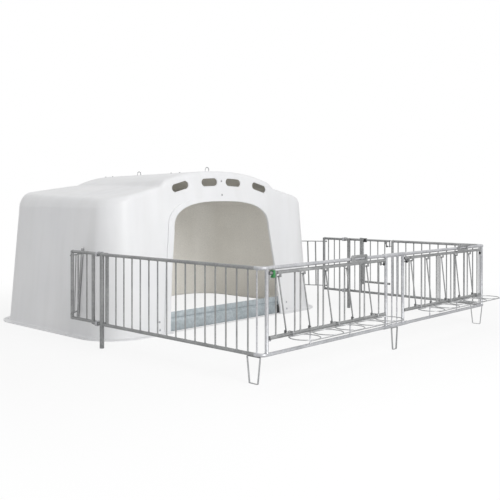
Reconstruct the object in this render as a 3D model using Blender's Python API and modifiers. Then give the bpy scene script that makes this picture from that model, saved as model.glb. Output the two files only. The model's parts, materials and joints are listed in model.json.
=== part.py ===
"""Group calf hutch with its galvanised feed-fence pen. Metres, +Z up, the front faces -Y.

Lengths along Y are measured from the plane of the front fence, and the root empty then moves the
whole object so that its origin lies on the ground in the middle of its box.
"""
import math

import bmesh
import bpy
from mathutils import Matrix, Vector
from mathutils.bvhtree import BVHTree

for old in list(bpy.data.objects):
    bpy.data.objects.remove(old, do_unlink=True)

# Clearances
GAP = 0.0003  # between pieces that rest on each other
RUN = 0.0005  # beside a piece that slides or turns
THROUGH = 0.1  # how far a drill goes past the skin

# Hutch shell
HUTCH_FRONT = 2.478  # ground line of the front wall
HUTCH_DEPTH = 2.490  # front wall to back wall at the ground
HUTCH_HALF = 1.893  # half width at the ground
HUTCH_CORNER = 0.441  # plan radius of the upright corners
LEAN = 0.0794  # inward run of every wall for each metre of height
SKIN = 0.009  # wall thickness
FLANGE = 0.083  # width of the foot flange
FLANGE_ROOT = 0.020  # rounding between flange and wall
EDGE_FRONT = 0.060  # rounding of the front and back roof edges
CROWN = 1.965  # height of the arched roof at the front
CROWN_FALL = 0.035  # how much lower the arch is at the back
STEP_FRONT = 1.05  # half width of the arched roof at the front
STEP_BACK = 0.80  # the same at the back
STEP_TOP = 0.140  # how far the arch has dropped at the top of its step
LOW_FRONT = CROWN - 0.215  # height of the low roof beside the step at the front
LOW_BACK = CROWN - 0.175  # the same at the back
FALL_FRONT = 0.235  # fall of the low roof for each metre outward at the front
FALL_BACK = 0.130  # the same at the back
SHOULDER_Z = CROWN - 0.465  # level crease where the side walls end and the roof's shoulder starts
CREASE = 0.5  # how far the shoulder leaves the wall at an angle
ARC_STEPS = 3  # faces in half an upright corner

# Door in the front wall
DOOR_HALF = 1.010  # half width at the ground
DOOR_SHOULDER = DOOR_HALF - 0.140  # half width at the shoulder
DOOR_TOP = CROWN - 0.393
DOOR_SHOULDER_Z = DOOR_TOP - 0.372
DOOR_POWER = 2.75  # squareness of the arch
DOOR_MIDDLE_Z = 0.70  # where the side of the door bows out a little
DOOR_BOW = 0.004
LIP_WIDTH = 0.085
LIP_TOP = 0.055  # width of the lip over the arch
LIP_PROUD = 0.018
LIP_ROOT = 0.004  # how far the lip reaches into the wall

# Vents
VENT_LONG = 0.280
VENT_HIGH = 0.100
VENT_PLACES = ((0.217, CROWN - 0.150, 3.0), (0.720, CROWN - 0.210, 14.0))  # x, z, tilt in degrees

# Fixings on the hutch
EYE_X = 0.300
EYE_PLACES = (0.732, HUTCH_DEPTH - 0.248)  # behind the front wall's ground line
EYE_WIDE = 0.064
EYE_TALL = 0.095
EYE_ROD = 0.006
STRAP_X = -0.300
STRAP_PLACES = (0.712, HUTCH_DEPTH - 0.308)
STRAP_BOLTS = 0.170  # distance between a strap's two bolts
STRAP_THICK = 0.005
STRAP_WIDE = 0.040
BOLT_R = 0.006
HEAD_R = 0.014
HEAD_TALL = 0.008
STIFF_Z = (DOOR_TOP + 0.080, CROWN - 0.129)  # the two bolts on the front's centre line

# Kick board
BOARD_HIGH = 0.232
BOARD_FOLD = 0.155  # height of the fold in the board
BOARD_THICK = 0.004
BOARD_FOLD_DEEP = 0.012
BOARD_END = DOOR_HALF + 0.015  # half length
BOARD_LIFT = 0.010  # bottom edge above the ground
GUIDE_REACH = DOOR_HALF + 0.185  # outer end of a guide plate
GUIDE_BOLT_X = DOOR_HALF + 0.148
GUIDE_BOLT_Z = (0.052, 0.144)
GUIDE_HIGH = 0.190
GUIDE_FOOT = 0.012  # bottom of the guides above the ground
GUIDE_LIP = 0.030
GUIDE_INNER = DOOR_HALF - 0.010  # inner edge of a guide plate
GUIDE_STEP = 0.036  # how far the right plate's lower part stands further in
GUIDE_STEP_HIGH = 0.115
GUIDE_PLATE = 0.005

# Pen, common
PEN_HALF = HUTCH_HALF + 0.207  # plane of the side fences
TOP_Z = 1.006  # axis of the top rails
BOTTOM_Z = 0.256  # axis of the bottom rails
RAIL_R = 0.017
BAR_R = 0.0075
POST_R = 0.017
GROUND_R = 0.024  # posts that stand on the ground
END_R = 0.019
POST_TOP = 0.012  # how far a ground post stands above the rail's axis
SPIGOT_R = 0.012
SPIGOT_LONG = 0.050
ELBOW_R = 0.055  # bend of the corner elbows
ELBOW_END = 0.085  # where an elbow meets its side rail
CORNER_BAR = 0.060

# Left side
LEFT_BARS = 16
LEFT_FIRST = 0.167
LEFT_PITCH = 0.136
LEFT_GROUND = 2.319
LEFT_END = 2.477
LEFT_EXT_START = 2.280
LEFT_EXT_BARS = (2.660, 2.829)
LEFT_EXT_END = 2.946
LEFT_CLAMP = 2.398
LEFT_TUBE_Y = 3.090  # where the wall tube of the left link lies on the hutch
EXT_INSET = 0.042  # how far the extensions stand inside the side panels

# Right side
RIGHT_BARS = 10
RIGHT_FIRST = 0.148
RIGHT_PITCH = 0.1229
LATCH_POST = 1.345
HINGE_POST = 1.875
RIGHT_AFTER = 1.982
RIGHT_GROUND = 2.089
RIGHT_END = 2.185
RIGHT_EXT_START = 2.050
RIGHT_CLAMP = 2.148
RIGHT_EXT_BARS = (2.225, 2.320, 2.428)
RIGHT_EXT_END = 2.511
RIGHT_TUBE_Y = 2.860

# Wall links
LINK_TOP = 0.962
LINK_BOTTOM = 0.300
LINK_ROD = 0.007
LINK_OUT = 0.045  # stub outside the end tube
LINK_KNOB_R = 0.011  # knob on a rod's outer end
LINK_KNOB_LONG = 0.012
# Radius of a link's upright bars and their shares of the way from wall to end tube
LINK_BAR_LEFT = (0.006, (0.62,))
LINK_BAR_RIGHT = (0.0095, (0.41, 0.69))
TUBE_R = 0.014
TUBE_TOP = 1.022
TUBE_FOOT = 0.200

# Clamp blocks
CLAMP_LONG = 0.036
CLAMP_WALL = 0.007

# Man door
DOOR_START = 1.388
DOOR_HINGE = 1.838  # axis of its stile
DOOR_LOW = 0.406
DOOR_RAIL_R = 0.015
DOOR_LOW_R = 0.018
DOOR_BARS = (1.471, 1.587, 1.712)
STILE_R = 0.013
STILE_FOOT = 0.030  # stile below the lower rail's axis
STILE_HEAD = 0.018  # stile above the top rail's axis
PIN_SHORT = 0.003  # how far a hinge pin ends before its bore does
PIN_R = 0.006
PIN_LONG = 0.028
LUG = 0.008
LOOP_END = 1.356
LOOP_LOW = 0.956
LOOP_TOP = 1.012
LOOP_R = 0.004
DOOR_BOLT_Z = 0.931
DOOR_BOLT_BACK = 1.455
DOOR_GUIDES = (1.3905, 1.444)
DOOR_KNOB_Y = 1.420
DOOR_BLOCK_Y = 1.800
DOOR_BLOCK = 0.034

# Front fence
MID_POST = 0.165
MID_BAR = 0.050
SLEEVE_R = 0.021
SLEEVE_LOW = (-0.210, 0.250)
SLEEVE_HIGH = (-0.220, 0.190)
RAIL_STOP = 0.010  # front rails end this far from the middle
CORNER_POST = PEN_HALF - 0.060
STUBS_LEFT = (1.436, 0.805)
STUBS_RIGHT = (0.748, 1.390)

# Gates
GATE_HINGE = CORNER_POST - 0.042
GATE_RAIL_END = 0.010  # rails beyond the hinge line
GATE_OUTER = GATE_HINGE + GATE_RAIL_END
HINGE_PIN_R = 0.005
HINGE_TAIL = 0.030  # upper hinge pin below its lug
PIN_UP = 0.022  # hinge pins above their lugs
GATE_INNER = 0.190
GATE_TOP = 0.960
GATE_LOW = 0.397
GATE_RAIL_R = 0.016
GATE_LOW_R = 0.018
PLACES = 5
PLACE_FIRST = GATE_HINGE - 0.078  # outermost upright of a gate
PLACE_LAST = 0.300  # innermost upright
PAIR_APART = 0.080  # between the uprights of two neighbouring places
PLACE_PITCH = (PLACE_FIRST - PLACE_LAST + PAIR_APART) / PLACES
PLACE_GAP = PLACE_PITCH - PAIR_APART  # between a place's two uprights
PIVOT_IN = PLACE_GAP - 0.120  # a neck bar's pivot, from the place's left upright
PIVOT_UP = 0.030  # above the lower rail's axis
NECK_TOP_IN = 0.035  # the neck bar's top at rest, from the same upright
NECK_TOP_GAP = 0.003  # under the top rail when upright
NECK_R = 0.007
NECK_FOOT = 0.009  # bar below its pivot
NECK_PIN_R = 0.004
LUG_BACK = 0.010  # front of a pivot lug behind the fence plane
LUG_THICK = 0.005
STOP_THICK = 0.005
STOP_REACH = 0.225

# Lock slide
SLIDE_Y = 0.0180  # its back face, in front of the fence plane
SLIDE_THICK = 0.005
SLIDE_HIGH = 0.025
FORK_Z = 0.923
FORK_HIGH = 0.010
FORK_THICK = 0.004
FORK_CLEAR = 0.0022
HANDLE_LEFT = (3, 0.086, 0.362)  # place from the left, and the plate's two ends from its left upright
HANDLE_RIGHT = (4, -0.282, -0.028)
HANDLE_TOP = 1.046
GRIP_SLOT = (0.060, 0.026)  # the hand slot's two ends, from the plate's ends
GRIP_HIGH = 0.026
GRIP_Z = 1.008
KEEPER_THICK = 0.003
KEEPER_WIDE = 0.024

# Gate bolts
BOLT_ROD = 0.005
BOLT_Z = 0.921
BOLT_HOLE_DEEP = 0.026
BOLT_LONG = 0.092
GUIDES_LEFT = (0.262, 0.200)
GUIDES_RIGHT = (0.266, 0.229)
KNOB_LEFT = 0.234
KNOB_RIGHT = 0.211
STEM_OUT = 0.020
KNOB_R = 0.0125
KNOB_LONG = 0.020
KNOB_FROM = 0.0128
PLUG_R = 0.014
PLUG_HEAD = 0.006
PLUG_DEEP = 0.015
CLIP_X = GATE_HINGE - 0.036
CLIP_WIDE = 0.028
CLIP_WALL = 0.005
CLIP_LOW = 0.918
CLIP_HIGH = 0.984
CAP_R = 0.013
CAP_TALL = 0.034

# Bucket racks
RING_R = 0.140
RING_WIRE = 0.005
RACK_DROP = 0.010  # below the lower rail's axis
RING_SIDES = 12
HOOKS = (0, 2, 4)  # places with a hook
HOOK_BEND = 0.009
RACK_IN = 0.012  # rods inside the rings' edges
RACK_OVER = 0.070  # rods beyond the outer rings' middles

# Feet
FOOT_THICK = 0.005
FOOT_WIDE = 0.018
FOOT_TOP_SIDE = 0.160
FOOT_LOW_SIDE = 0.104
FOOT_TOP_MID = 0.118
FOOT_LOW_MID = 0.072
FOOT_SIDE_Y = 0.098

# Worked out from the above
HUTCH_BACK = HUTCH_FRONT + HUTCH_DEPTH
BACK = HUTCH_BACK + FLANGE
RACK_Y = -(GATE_LOW_R + GAP + RING_WIRE / math.cos(math.pi / 6) + RING_R)
FRONT = RACK_Y - RING_R - RING_WIRE
RACK_Z = GATE_LOW - RACK_DROP
NECK_PIVOT_Z = GATE_LOW + PIVOT_UP
NECK_LONG = GATE_TOP - GATE_RAIL_R - NECK_TOP_GAP - NECK_PIVOT_Z
NECK_LEAN = math.asin((PIVOT_IN - NECK_TOP_IN) / NECK_LONG)
EXT_PLANE = PEN_HALF - EXT_INSET

# Materials
def finish(name, color, rough, metal=0.0):
    made = bpy.data.materials.new(name)
    made.use_nodes = True
    shader = made.node_tree.nodes["Principled BSDF"]
    shader.inputs["Base Color"].default_value = (*color, 1.0)
    shader.inputs["Roughness"].default_value = rough
    shader.inputs["Metallic"].default_value = metal
    made.diffuse_color = (*color, 1.0)
    return made


LOOKS = {
    "shell": ((0.86, 0.86, 0.87), 0.45, 0.0),
    "board": ((0.46, 0.53, 0.57), 0.45, 0.7),
    "rubber": ((0.02, 0.02, 0.02), 0.6, 0.0),
    "galvanised": ((0.36, 0.37, 0.37), 0.45, 0.8),
    "bright": ((0.62, 0.63, 0.65), 0.35, 0.85),
    "green": ((0.05, 0.30, 0.08), 0.5, 0.0),
    "steel": ((0.50, 0.51, 0.52), 0.35, 0.9),
}

model = bpy.data.collections.new("group_calf_hutch")
cutters = bpy.data.collections.new("cutters")
cutters.hide_render = True
bpy.context.scene.collection.children.link(model)
bpy.context.scene.collection.children.link(cutters)

root = bpy.data.objects.new("hutch_origin", None)
root.location = (0, -(FRONT + BACK) / 2, 0)
model.objects.link(root)


# Solids are built as bmeshes, one layer of solids that don't touch each other at a time.
def rod(bm, start, end, radius, sides=8, turn=None):
    """A round bar whose flats lie at the radius."""
    start, end = Vector(start), Vector(end)
    along = end - start
    turn = math.pi / sides if turn is None else turn
    place = (Matrix.Translation((start + end) / 2) @ along.to_track_quat("Z", "Y").to_matrix().to_4x4()
             @ Matrix.Rotation(turn, 4, "Z"))
    wide = radius / math.cos(math.pi / sides)
    bmesh.ops.create_cone(bm, cap_ends=True, segments=sides, radius1=wide, radius2=wide,
                          depth=along.length, matrix=place)


def box(bm, low, high, tilt=None):
    size = [b - a for a, b in zip(low, high)]
    middle = [(a + b) / 2 for a, b in zip(low, high)]
    place = Matrix.Translation(middle) @ Matrix.Diagonal((*size, 1.0))
    bmesh.ops.create_cube(bm, size=1.0, matrix=place if tilt is None else tilt @ place)


def layer(build):
    """One layer: build is a function that adds its solids to the bmesh it gets."""
    bm = bmesh.new()
    build(bm)
    data = bpy.data.meshes.new("layer")
    bm.to_mesh(data)
    bm.free()
    made = bpy.data.objects.new("layer", data)
    cutters.objects.link(made)
    made.display_type = "WIRE"
    return made


def wire(points, radius, sides=6, closed=False, turn=0.0):
    """A bent round bar along the points, as a mesh."""
    data = bpy.data.curves.new("wire", "CURVE")
    data.dimensions = "3D"
    data.bevel_depth = radius / math.cos(math.pi / sides)
    data.bevel_resolution = (sides - 4) // 2
    data.use_fill_caps = True
    data.twist_mode = "MINIMUM"
    line = data.splines.new("POLY")
    line.points.add(len(points) - 1)
    for point, place in zip(line.points, points):
        point.co = (*place, 1.0)
        point.tilt = turn
    line.use_cyclic_u = closed
    return curve_to_mesh(data)


def bent(points, radius):
    """The same line with each corner rounded by three points."""
    points = [Vector(p) for p in points]
    made = [points[0]]
    for before, corner, after in zip(points, points[1:], points[2:]):
        first = corner + (before - corner).normalized() * radius
        last = corner + (after - corner).normalized() * radius
        made += [first, (first + last) * 0.21 + corner * 0.58, last]
    return made + [points[-1]]


def plate(outline, thick, place=None):
    """A flat outline in X and Y made into a plate, then put at place."""
    data = bpy.data.curves.new("plate", "CURVE")
    data.dimensions = "2D"
    data.fill_mode = "BOTH"
    data.extrude = thick / 2
    line = data.splines.new("POLY")
    line.points.add(len(outline) - 1)
    for point, (x, y) in zip(line.points, outline):
        point.co = (x, y, 0.0, 1.0)
    line.use_cyclic_u = True
    made = curve_to_mesh(data)
    made.data.transform(place or Matrix())
    return made


def curve_to_mesh(data):
    source = bpy.data.objects.new("curve", data)
    cutters.objects.link(source)
    bpy.context.view_layer.update()
    graph = bpy.context.evaluated_depsgraph_get()
    mesh = bpy.data.meshes.new_from_object(source.evaluated_get(graph))
    made = bpy.data.objects.new("layer", mesh)
    made.matrix_world = source.matrix_world
    cutters.objects.link(made)
    made.display_type = "WIRE"
    bpy.data.objects.remove(source)
    bpy.data.curves.remove(data)
    weld(mesh)
    return made


def weld(mesh):
    bm = bmesh.new()
    bm.from_mesh(mesh)
    bmesh.ops.remove_doubles(bm, verts=bm.verts, dist=0.00002)
    bmesh.ops.recalc_face_normals(bm, faces=bm.faces)
    bm.to_mesh(mesh)
    bm.free()


def combine(base, others, how):
    """The base after a Boolean with each of the others, which are used up."""
    for other in others:
        step = base.modifiers.new(how.lower(), "BOOLEAN")
        step.operation = how
        step.solver = "EXACT"
        step.object = other
    bpy.context.view_layer.update()
    graph = bpy.context.evaluated_depsgraph_get()
    mesh = bpy.data.meshes.new_from_object(base.evaluated_get(graph))
    base.modifiers.clear()
    base.data = mesh
    for other in others:
        bpy.data.objects.remove(other)
    return base


def joined(*layers):
    return combine(layers[0], layers[1:], "UNION") if len(layers) > 1 else layers[0]


def cut(base, *tools):
    return combine(base, tools, "DIFFERENCE")


def piece(name, solid, look, pivot=(0, 0, 0), parent=None, smooth=30):
    """Names a finished solid, gives it its material and puts its origin at the pivot."""
    pivot = Vector(pivot)
    solid.data.transform(Matrix.Translation(-pivot))
    solid.data.materials.clear()
    solid.data.materials.append(finish(name, *LOOKS[look]))
    for face in solid.data.polygons:
        face.material_index = 0
    solid.name = solid.data.name = name
    solid.display_type = "TEXTURED"
    cutters.objects.unlink(solid)
    model.objects.link(solid)
    holder = parent or root
    solid.parent = holder
    solid.location = pivot - offset_of(holder)
    solid.data.shade_smooth()
    solid.data.set_sharp_from_angle(angle=math.radians(smooth))
    return solid


def offset_of(holder):
    """Where a holder stands, in the lengths that start from the front fence."""
    spot = Vector((0, 0, 0))
    while holder is not root:
        spot += holder.location
        holder = holder.parent
    return spot


def axis_empty(name, spot, parent=None):
    made = bpy.data.objects.new(name, None)
    made.empty_display_size = 0.1
    made.parent = parent or root
    made.location = Vector(spot) - offset_of(made.parent)
    model.objects.link(made)
    return made


def arc(centre, radius, start, end, steps):
    """Points of an arc in a plane, angles in degrees."""
    turns = [math.radians(start + (end - start) * k / steps) for k in range(steps + 1)]
    return [(centre[0] + radius * math.cos(t), centre[1] + radius * math.sin(t)) for t in turns]


# The hutch shell: walls that lean in, a rounded roof edge and a roof with a raised arch.
def roof_height(x, y):
    back = min(max((y - HUTCH_FRONT) / HUTCH_DEPTH, 0.0), 1.0)
    step = STEP_FRONT + (STEP_BACK - STEP_FRONT) * back
    low = LOW_FRONT + (LOW_BACK - LOW_FRONT) * back
    fall = FALL_FRONT + (FALL_BACK - FALL_FRONT) * back
    share = abs(x) / step
    top = CROWN - CROWN_FALL * back
    if share >= 1:
        return low - fall * (abs(x) - step)
    if share > 0.93:
        return top - STEP_TOP + (low - top + STEP_TOP) * (share - 0.93) / 0.07
    return top - STEP_TOP * (share / 0.93) ** 2.4


def ground_line():
    """Outline of the walls at the ground as point and inward normal: front, right, back and left."""
    straight_x = HUTCH_HALF - HUTCH_CORNER
    shares = (0.24, 0.48, 0.70, 0.86, 0.93, 1.0)
    half = [s * STEP_FRONT for s in shares] + [(STEP_FRONT + straight_x) / 2, straight_x]
    half_back = [s * STEP_BACK for s in shares] + [(STEP_BACK + straight_x) / 2, straight_x]
    corner = [45.0 * k / ARC_STEPS for k in range(1, ARC_STEPS + 1)]
    near, far = HUTCH_FRONT + HUTCH_CORNER, HUTCH_BACK - HUTCH_CORNER

    def bend(cx, cy, degrees):
        spot = Vector((math.cos(math.radians(degrees)), math.sin(math.radians(degrees))))
        return Vector((cx, cy)) + HUTCH_CORNER * spot, -spot

    front = [bend(-straight_x, near, 270 - a) for a in reversed(corner)]
    front += [(Vector((x, HUTCH_FRONT)), Vector((0, 1))) for x in [-h for h in reversed(half)] + [0] + half]
    front += [bend(straight_x, near, 270 + a) for a in corner]
    back = [bend(straight_x, far, 90 - a) for a in reversed(corner)]
    back += [(Vector((x, HUTCH_BACK)), Vector((0, -1)))
             for x in list(reversed(half_back)) + [0] + [-h for h in half_back]]
    back += [bend(-straight_x, far, 90 + a) for a in corner]
    rows = 5
    mids = [near + (far - near) * k / rows for k in range(rows + 1)]
    right = [bend(straight_x, near, 315 + a) for a in corner[:-1]]
    right += [(Vector((HUTCH_HALF, y)), Vector((-1, 0))) for y in mids]
    right += [bend(straight_x, far, a) for a in corner[:-1]]
    left = [(Vector((-p.x, p.y)), Vector((-n.x, n.y))) for p, n in reversed(right)]
    return front, right, back, left


def shell_surface():
    front, right, back, left = ground_line()
    loop = front + right + back + left
    rings = []
    foot_z = SKIN
    for out, z in ((FLANGE, foot_z), (FLANGE_ROOT, foot_z), (0.006, foot_z + 0.006),
                   (-LEAN * (foot_z + 0.026), foot_z + 0.026)):
        rings.append([(*(p - n * out), z) for p, n in loop])
    tops = []
    for p, n in loop:
        corner_z = CROWN - 0.2
        for _ in range(4):
            spot = p + n * LEAN * corner_z
            corner_z = roof_height(spot.x, spot.y)
        flat = n.y * n.y  # 1 at the front and back, 0 at the sides
        edge = EDGE_FRONT * flat + (corner_z - SHOULDER_Z) * (1 - flat)
        inner = p + n * (LEAN * corner_z + edge)
        tops.append((p, n, edge, corner_z, inner))
    for share in (0.28, 0.56, 0.80):
        rings.append([(*(p + n * LEAN * share * (c - e)), share * (c - e)) for p, n, e, c, i in tops])
    for t in (0.0, 0.25, 0.5, 0.75):
        ring = []
        for p, n, e, c, i in tops:
            low = Vector((*(p + n * LEAN * (c - e)), c - e))
            peak = Vector((*(p + n * LEAN * c), c))
            high = Vector((*i, roof_height(i.x, i.y)))
            bulge = Vector((*n, 0)) * e * CREASE * 0.4 * (1 - n.y * n.y)
            up, over = low.lerp(peak, 0.6) + bulge, high.lerp(peak, 0.6)
            ring.append(tuple(low * (1 - t) ** 3 + up * 3 * t * (1 - t) ** 2 + over * 3 * t * t * (1 - t)
                              + high * t ** 3))
        rings.append(ring)
    inner_loop = [i for *_, i in tops]
    bm = bmesh.new()
    made = [[bm.verts.new(v) for v in ring] for ring in rings]
    # The roof is a grid between the four inner edges.
    columns, rows = len(front), len(right) + 2
    south = inner_loop[:columns]
    east = [south[-1]] + inner_loop[columns:columns + len(right)]
    north = list(reversed(inner_loop[columns + len(right):2 * columns + len(right)]))
    east.append(north[-1])
    west = [south[0]] + list(reversed(inner_loop[2 * columns + len(right):])) + [north[0]]
    grid = []
    for j in range(rows):
        v = (west[j].y - west[0].y) / (west[-1].y - west[0].y)
        line = []
        for i in range(columns):
            u = (south[i].x - south[0].x) / (south[-1].x - south[0].x)
            spot = (south[i] * (1 - v) + north[i] * v + west[j] * (1 - u) + east[j] * u
                    - south[0] * (1 - u) * (1 - v) - south[-1] * u * (1 - v)
                    - north[0] * (1 - u) * v - north[-1] * u * v)
            line.append(bm.verts.new((spot.x, spot.y, roof_height(spot.x, spot.y))))
        grid.append(line)
    edge = grid[0] + [grid[j][-1] for j in range(1, rows - 1)] + list(reversed(grid[-1]))
    edge += [grid[j][0] for j in range(rows - 2, 0, -1)]
    made.append(edge)
    count = len(loop)
    for low, high in zip(made, made[1:]):
        for k in range(count):
            bm.faces.new((low[k], low[(k + 1) % count], high[(k + 1) % count], high[k]))
    for j in range(rows - 1):
        for i in range(columns - 1):
            bm.faces.new((grid[j][i], grid[j][i + 1], grid[j + 1][i + 1], grid[j + 1][i]))
    bmesh.ops.recalc_face_normals(bm, faces=bm.faces)
    data = bpy.data.meshes.new("layer")
    bm.to_mesh(data)
    bm.free()
    made = bpy.data.objects.new("layer", data)
    cutters.objects.link(made)
    made.display_type = "WIRE"
    skin = made.modifiers.new("skin", "SOLIDIFY")
    skin.thickness = SKIN
    skin.offset = -1
    skin.use_even_offset = True
    return made


def wall_frame():
    """Puts a drawing with X across and Y up on the outer face of the front wall, its Z outward."""
    lean = math.atan(LEAN)
    return Matrix.Translation((0, HUTCH_FRONT, 0)) @ Matrix.Rotation(math.pi / 2 - lean, 4, "X")


def up_wall(z):
    return z * math.sqrt(1 + LEAN * LEAN)


def door_outline(grow=0.0, foot=-0.05):
    """Door opening, from its foot at the right over the arch to its foot at the left."""
    steps = 10
    points = [(DOOR_HALF + grow, foot), (DOOR_HALF + grow, up_wall(0.05))]
    points.append(((DOOR_HALF + DOOR_SHOULDER) / 2 + DOOR_BOW + grow, up_wall(DOOR_MIDDLE_Z)))
    wide, tall = DOOR_SHOULDER + grow, up_wall(DOOR_TOP - DOOR_SHOULDER_Z) + grow * LIP_TOP / LIP_WIDTH
    for k in range(steps + 1):
        angle = math.pi / 2 * k / steps
        x = wide * math.cos(angle) ** (2 / DOOR_POWER)
        y = up_wall(DOOR_SHOULDER_Z) + tall * math.sin(angle) ** (2 / DOOR_POWER)
        points.append((x, y))
    return points + [(-x, y) for x, y in reversed(points[:-1])]


def slot_outline(cx, cy, long, high, degrees):
    turned = Matrix.Rotation(math.radians(degrees), 2)
    ends = arc((long / 2 - high / 2, 0), high / 2, -90, 90,
               6) + arc((-long / 2 + high / 2, 0), high / 2, 90, 270, 6)
    return [tuple(Vector((cx, cy)) + turned @ Vector(p)) for p in ends]


def hole_down(bm, x, y, radius):
    rod(bm, (x, y, roof_height(x, y) - THROUGH), (x, y, roof_height(x, y) + THROUGH), radius, 8)


def roof_skin(x, y):
    """Heights of the roof's outer and inner faces at a place."""
    outer = roof_tree.ray_cast(Vector((x, y, CROWN + 1)), Vector((0, 0, -1)))[0].z
    inner = roof_tree.ray_cast(Vector((x, y, outer - SKIN / 2)), Vector((0, 0, -1)))[0].z
    return outer, inner


def under_roof(spots):
    return min(roof_skin(x, y)[1] for x, y in spots) - GAP


def over_roof(spots):
    return max(roof_skin(x, y)[0] for x, y in spots) + GAP


def around(x, y, dx, dy):
    return [(x + s * dx, y + t * dy) for s in (-1, 0, 1) for t in (-1, 0, 1)]


wall = wall_frame()
eyes = [HUTCH_FRONT + y for y in EYE_PLACES]
straps = [HUTCH_FRONT + y for y in STRAP_PLACES]

shell = shell_surface()
lip = plate(door_outline(LIP_WIDTH, 0.001), LIP_PROUD + LIP_ROOT,
            wall @ Matrix.Translation((0, 0, (LIP_PROUD - LIP_ROOT) / 2)))
door_tool = plate(door_outline(), 0.6, wall)


def vent_tools():
    made = []
    for side in (-1, 1):
        for x, z, tilt in VENT_PLACES:
            made.append(plate(slot_outline(side * x, up_wall(z), VENT_LONG, VENT_HIGH, -side * tilt), 0.2,
                              wall))
    return made


def shell_holes(bm):
    for y in eyes:
        for side in (-1, 1):
            hole_down(bm, EYE_X + side * EYE_WIDE / 2, y, EYE_ROD + GAP)
    for y in straps:
        for side in (-1, 1):
            hole_down(bm, STRAP_X, y + side * STRAP_BOLTS / 2, BOLT_R + GAP)
    for z in STIFF_Z:
        rod(bm, wall @ Vector((0, up_wall(z), -THROUGH)), wall @ Vector((0, up_wall(z), THROUGH)),
            BOLT_R + GAP)
    for side in (-1, 1):
        for z in GUIDE_BOLT_Z:
            spot = (side * GUIDE_BOLT_X, up_wall(z))
            rod(bm, wall @ Vector((*spot, -THROUGH)), wall @ Vector((*spot, THROUGH)), BOLT_R + GAP)


shell = joined(shell, lip)
roof_tree = BVHTree.FromObject(shell, bpy.context.evaluated_depsgraph_get())
shell = cut(shell, door_tool, *vent_tools(), layer(shell_holes))
piece("hutch_shell", shell, "shell", smooth=35)

for label, y in zip(("front", "rear"), eyes):
    seat = under_roof(around(EYE_X, y, EYE_WIDE / 2 + 0.02, STRAP_WIDE / 2))
    top = over_roof([(EYE_X, y)]) + EYE_TALL
    legs = [(EYE_X - EYE_WIDE / 2, y, seat - STRAP_THICK / 2),
            (EYE_X - EYE_WIDE / 2, y, top - EYE_WIDE / 2)]
    bow = [(EYE_X + a, y, top - EYE_WIDE / 2 + b) for a, b in arc((0, 0), EYE_WIDE / 2, 180, 0, 6)[1:-1]]
    legs = legs + bow + [(EYE_X + EYE_WIDE / 2, y, z) for *_, z in reversed(legs)]
    washer = layer(lambda bm: box(bm, (EYE_X - EYE_WIDE / 2 - 0.02, y - STRAP_WIDE / 2, seat - STRAP_THICK),
                                  (EYE_X + EYE_WIDE / 2 + 0.02, y + STRAP_WIDE / 2, seat)))
    piece(f"lifting_eye_{label}", joined(washer, wire(legs, EYE_ROD, 8, turn=math.pi / 8)), "steel")

for label, y in zip(("front", "rear"), straps):
    ends = (y - STRAP_BOLTS / 2, y + STRAP_BOLTS / 2)
    seat = under_roof(around(STRAP_X, y, STRAP_WIDE / 2, STRAP_BOLTS / 2 + 0.02))
    strap = layer(lambda bm: box(bm, (STRAP_X - STRAP_WIDE / 2, ends[0] - 0.02, seat - STRAP_THICK),
                                 (STRAP_X + STRAP_WIDE / 2, ends[1] + 0.02, seat)))
    heads = [over_roof(around(STRAP_X, e, HEAD_R * 1.1, HEAD_R * 1.1)) for e in ends]
    shanks = layer(lambda bm: [rod(bm, (STRAP_X, e, seat - STRAP_THICK / 2),
                                   (STRAP_X, e, h + HEAD_TALL / 2), BOLT_R)
                               for e, h in zip(ends, heads)])
    domes = layer(lambda bm: [rod(bm, (STRAP_X, e, h), (STRAP_X, e, h + HEAD_TALL), HEAD_R)
                              for e, h in zip(ends, heads)])
    piece(f"roof_strap_{label}", joined(strap, shanks, domes), "steel")


def wall_bolts(bm, spots, inner, radius=BOLT_R):
    for x, y in spots:
        rod(bm, wall @ Vector((x, y, -inner)), wall @ Vector((x, y, GAP + HEAD_TALL / 2)), radius)


def wall_heads(bm, spots):
    for x, y in spots:
        rod(bm, wall @ Vector((x, y, GAP)), wall @ Vector((x, y, GAP + HEAD_TALL)), HEAD_R)


def wall_plate(bm, low, high, near, deep):
    box(bm, (low[0], low[1], -near - deep), (high[0], high[1], -near), wall)


stiff_spots = [(0, up_wall(z)) for z in STIFF_Z]
inside = SKIN + GAP
piece("front_stiffener", joined(
    layer(lambda bm: wall_plate(bm, (-0.02, stiff_spots[0][1] - 0.03), (0.02, stiff_spots[1][1] + 0.025),
                                inside, STRAP_THICK)),
    layer(lambda bm: wall_bolts(bm, stiff_spots, inside + STRAP_THICK / 2)),
    layer(lambda bm: wall_heads(bm, stiff_spots))), "steel")

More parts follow.
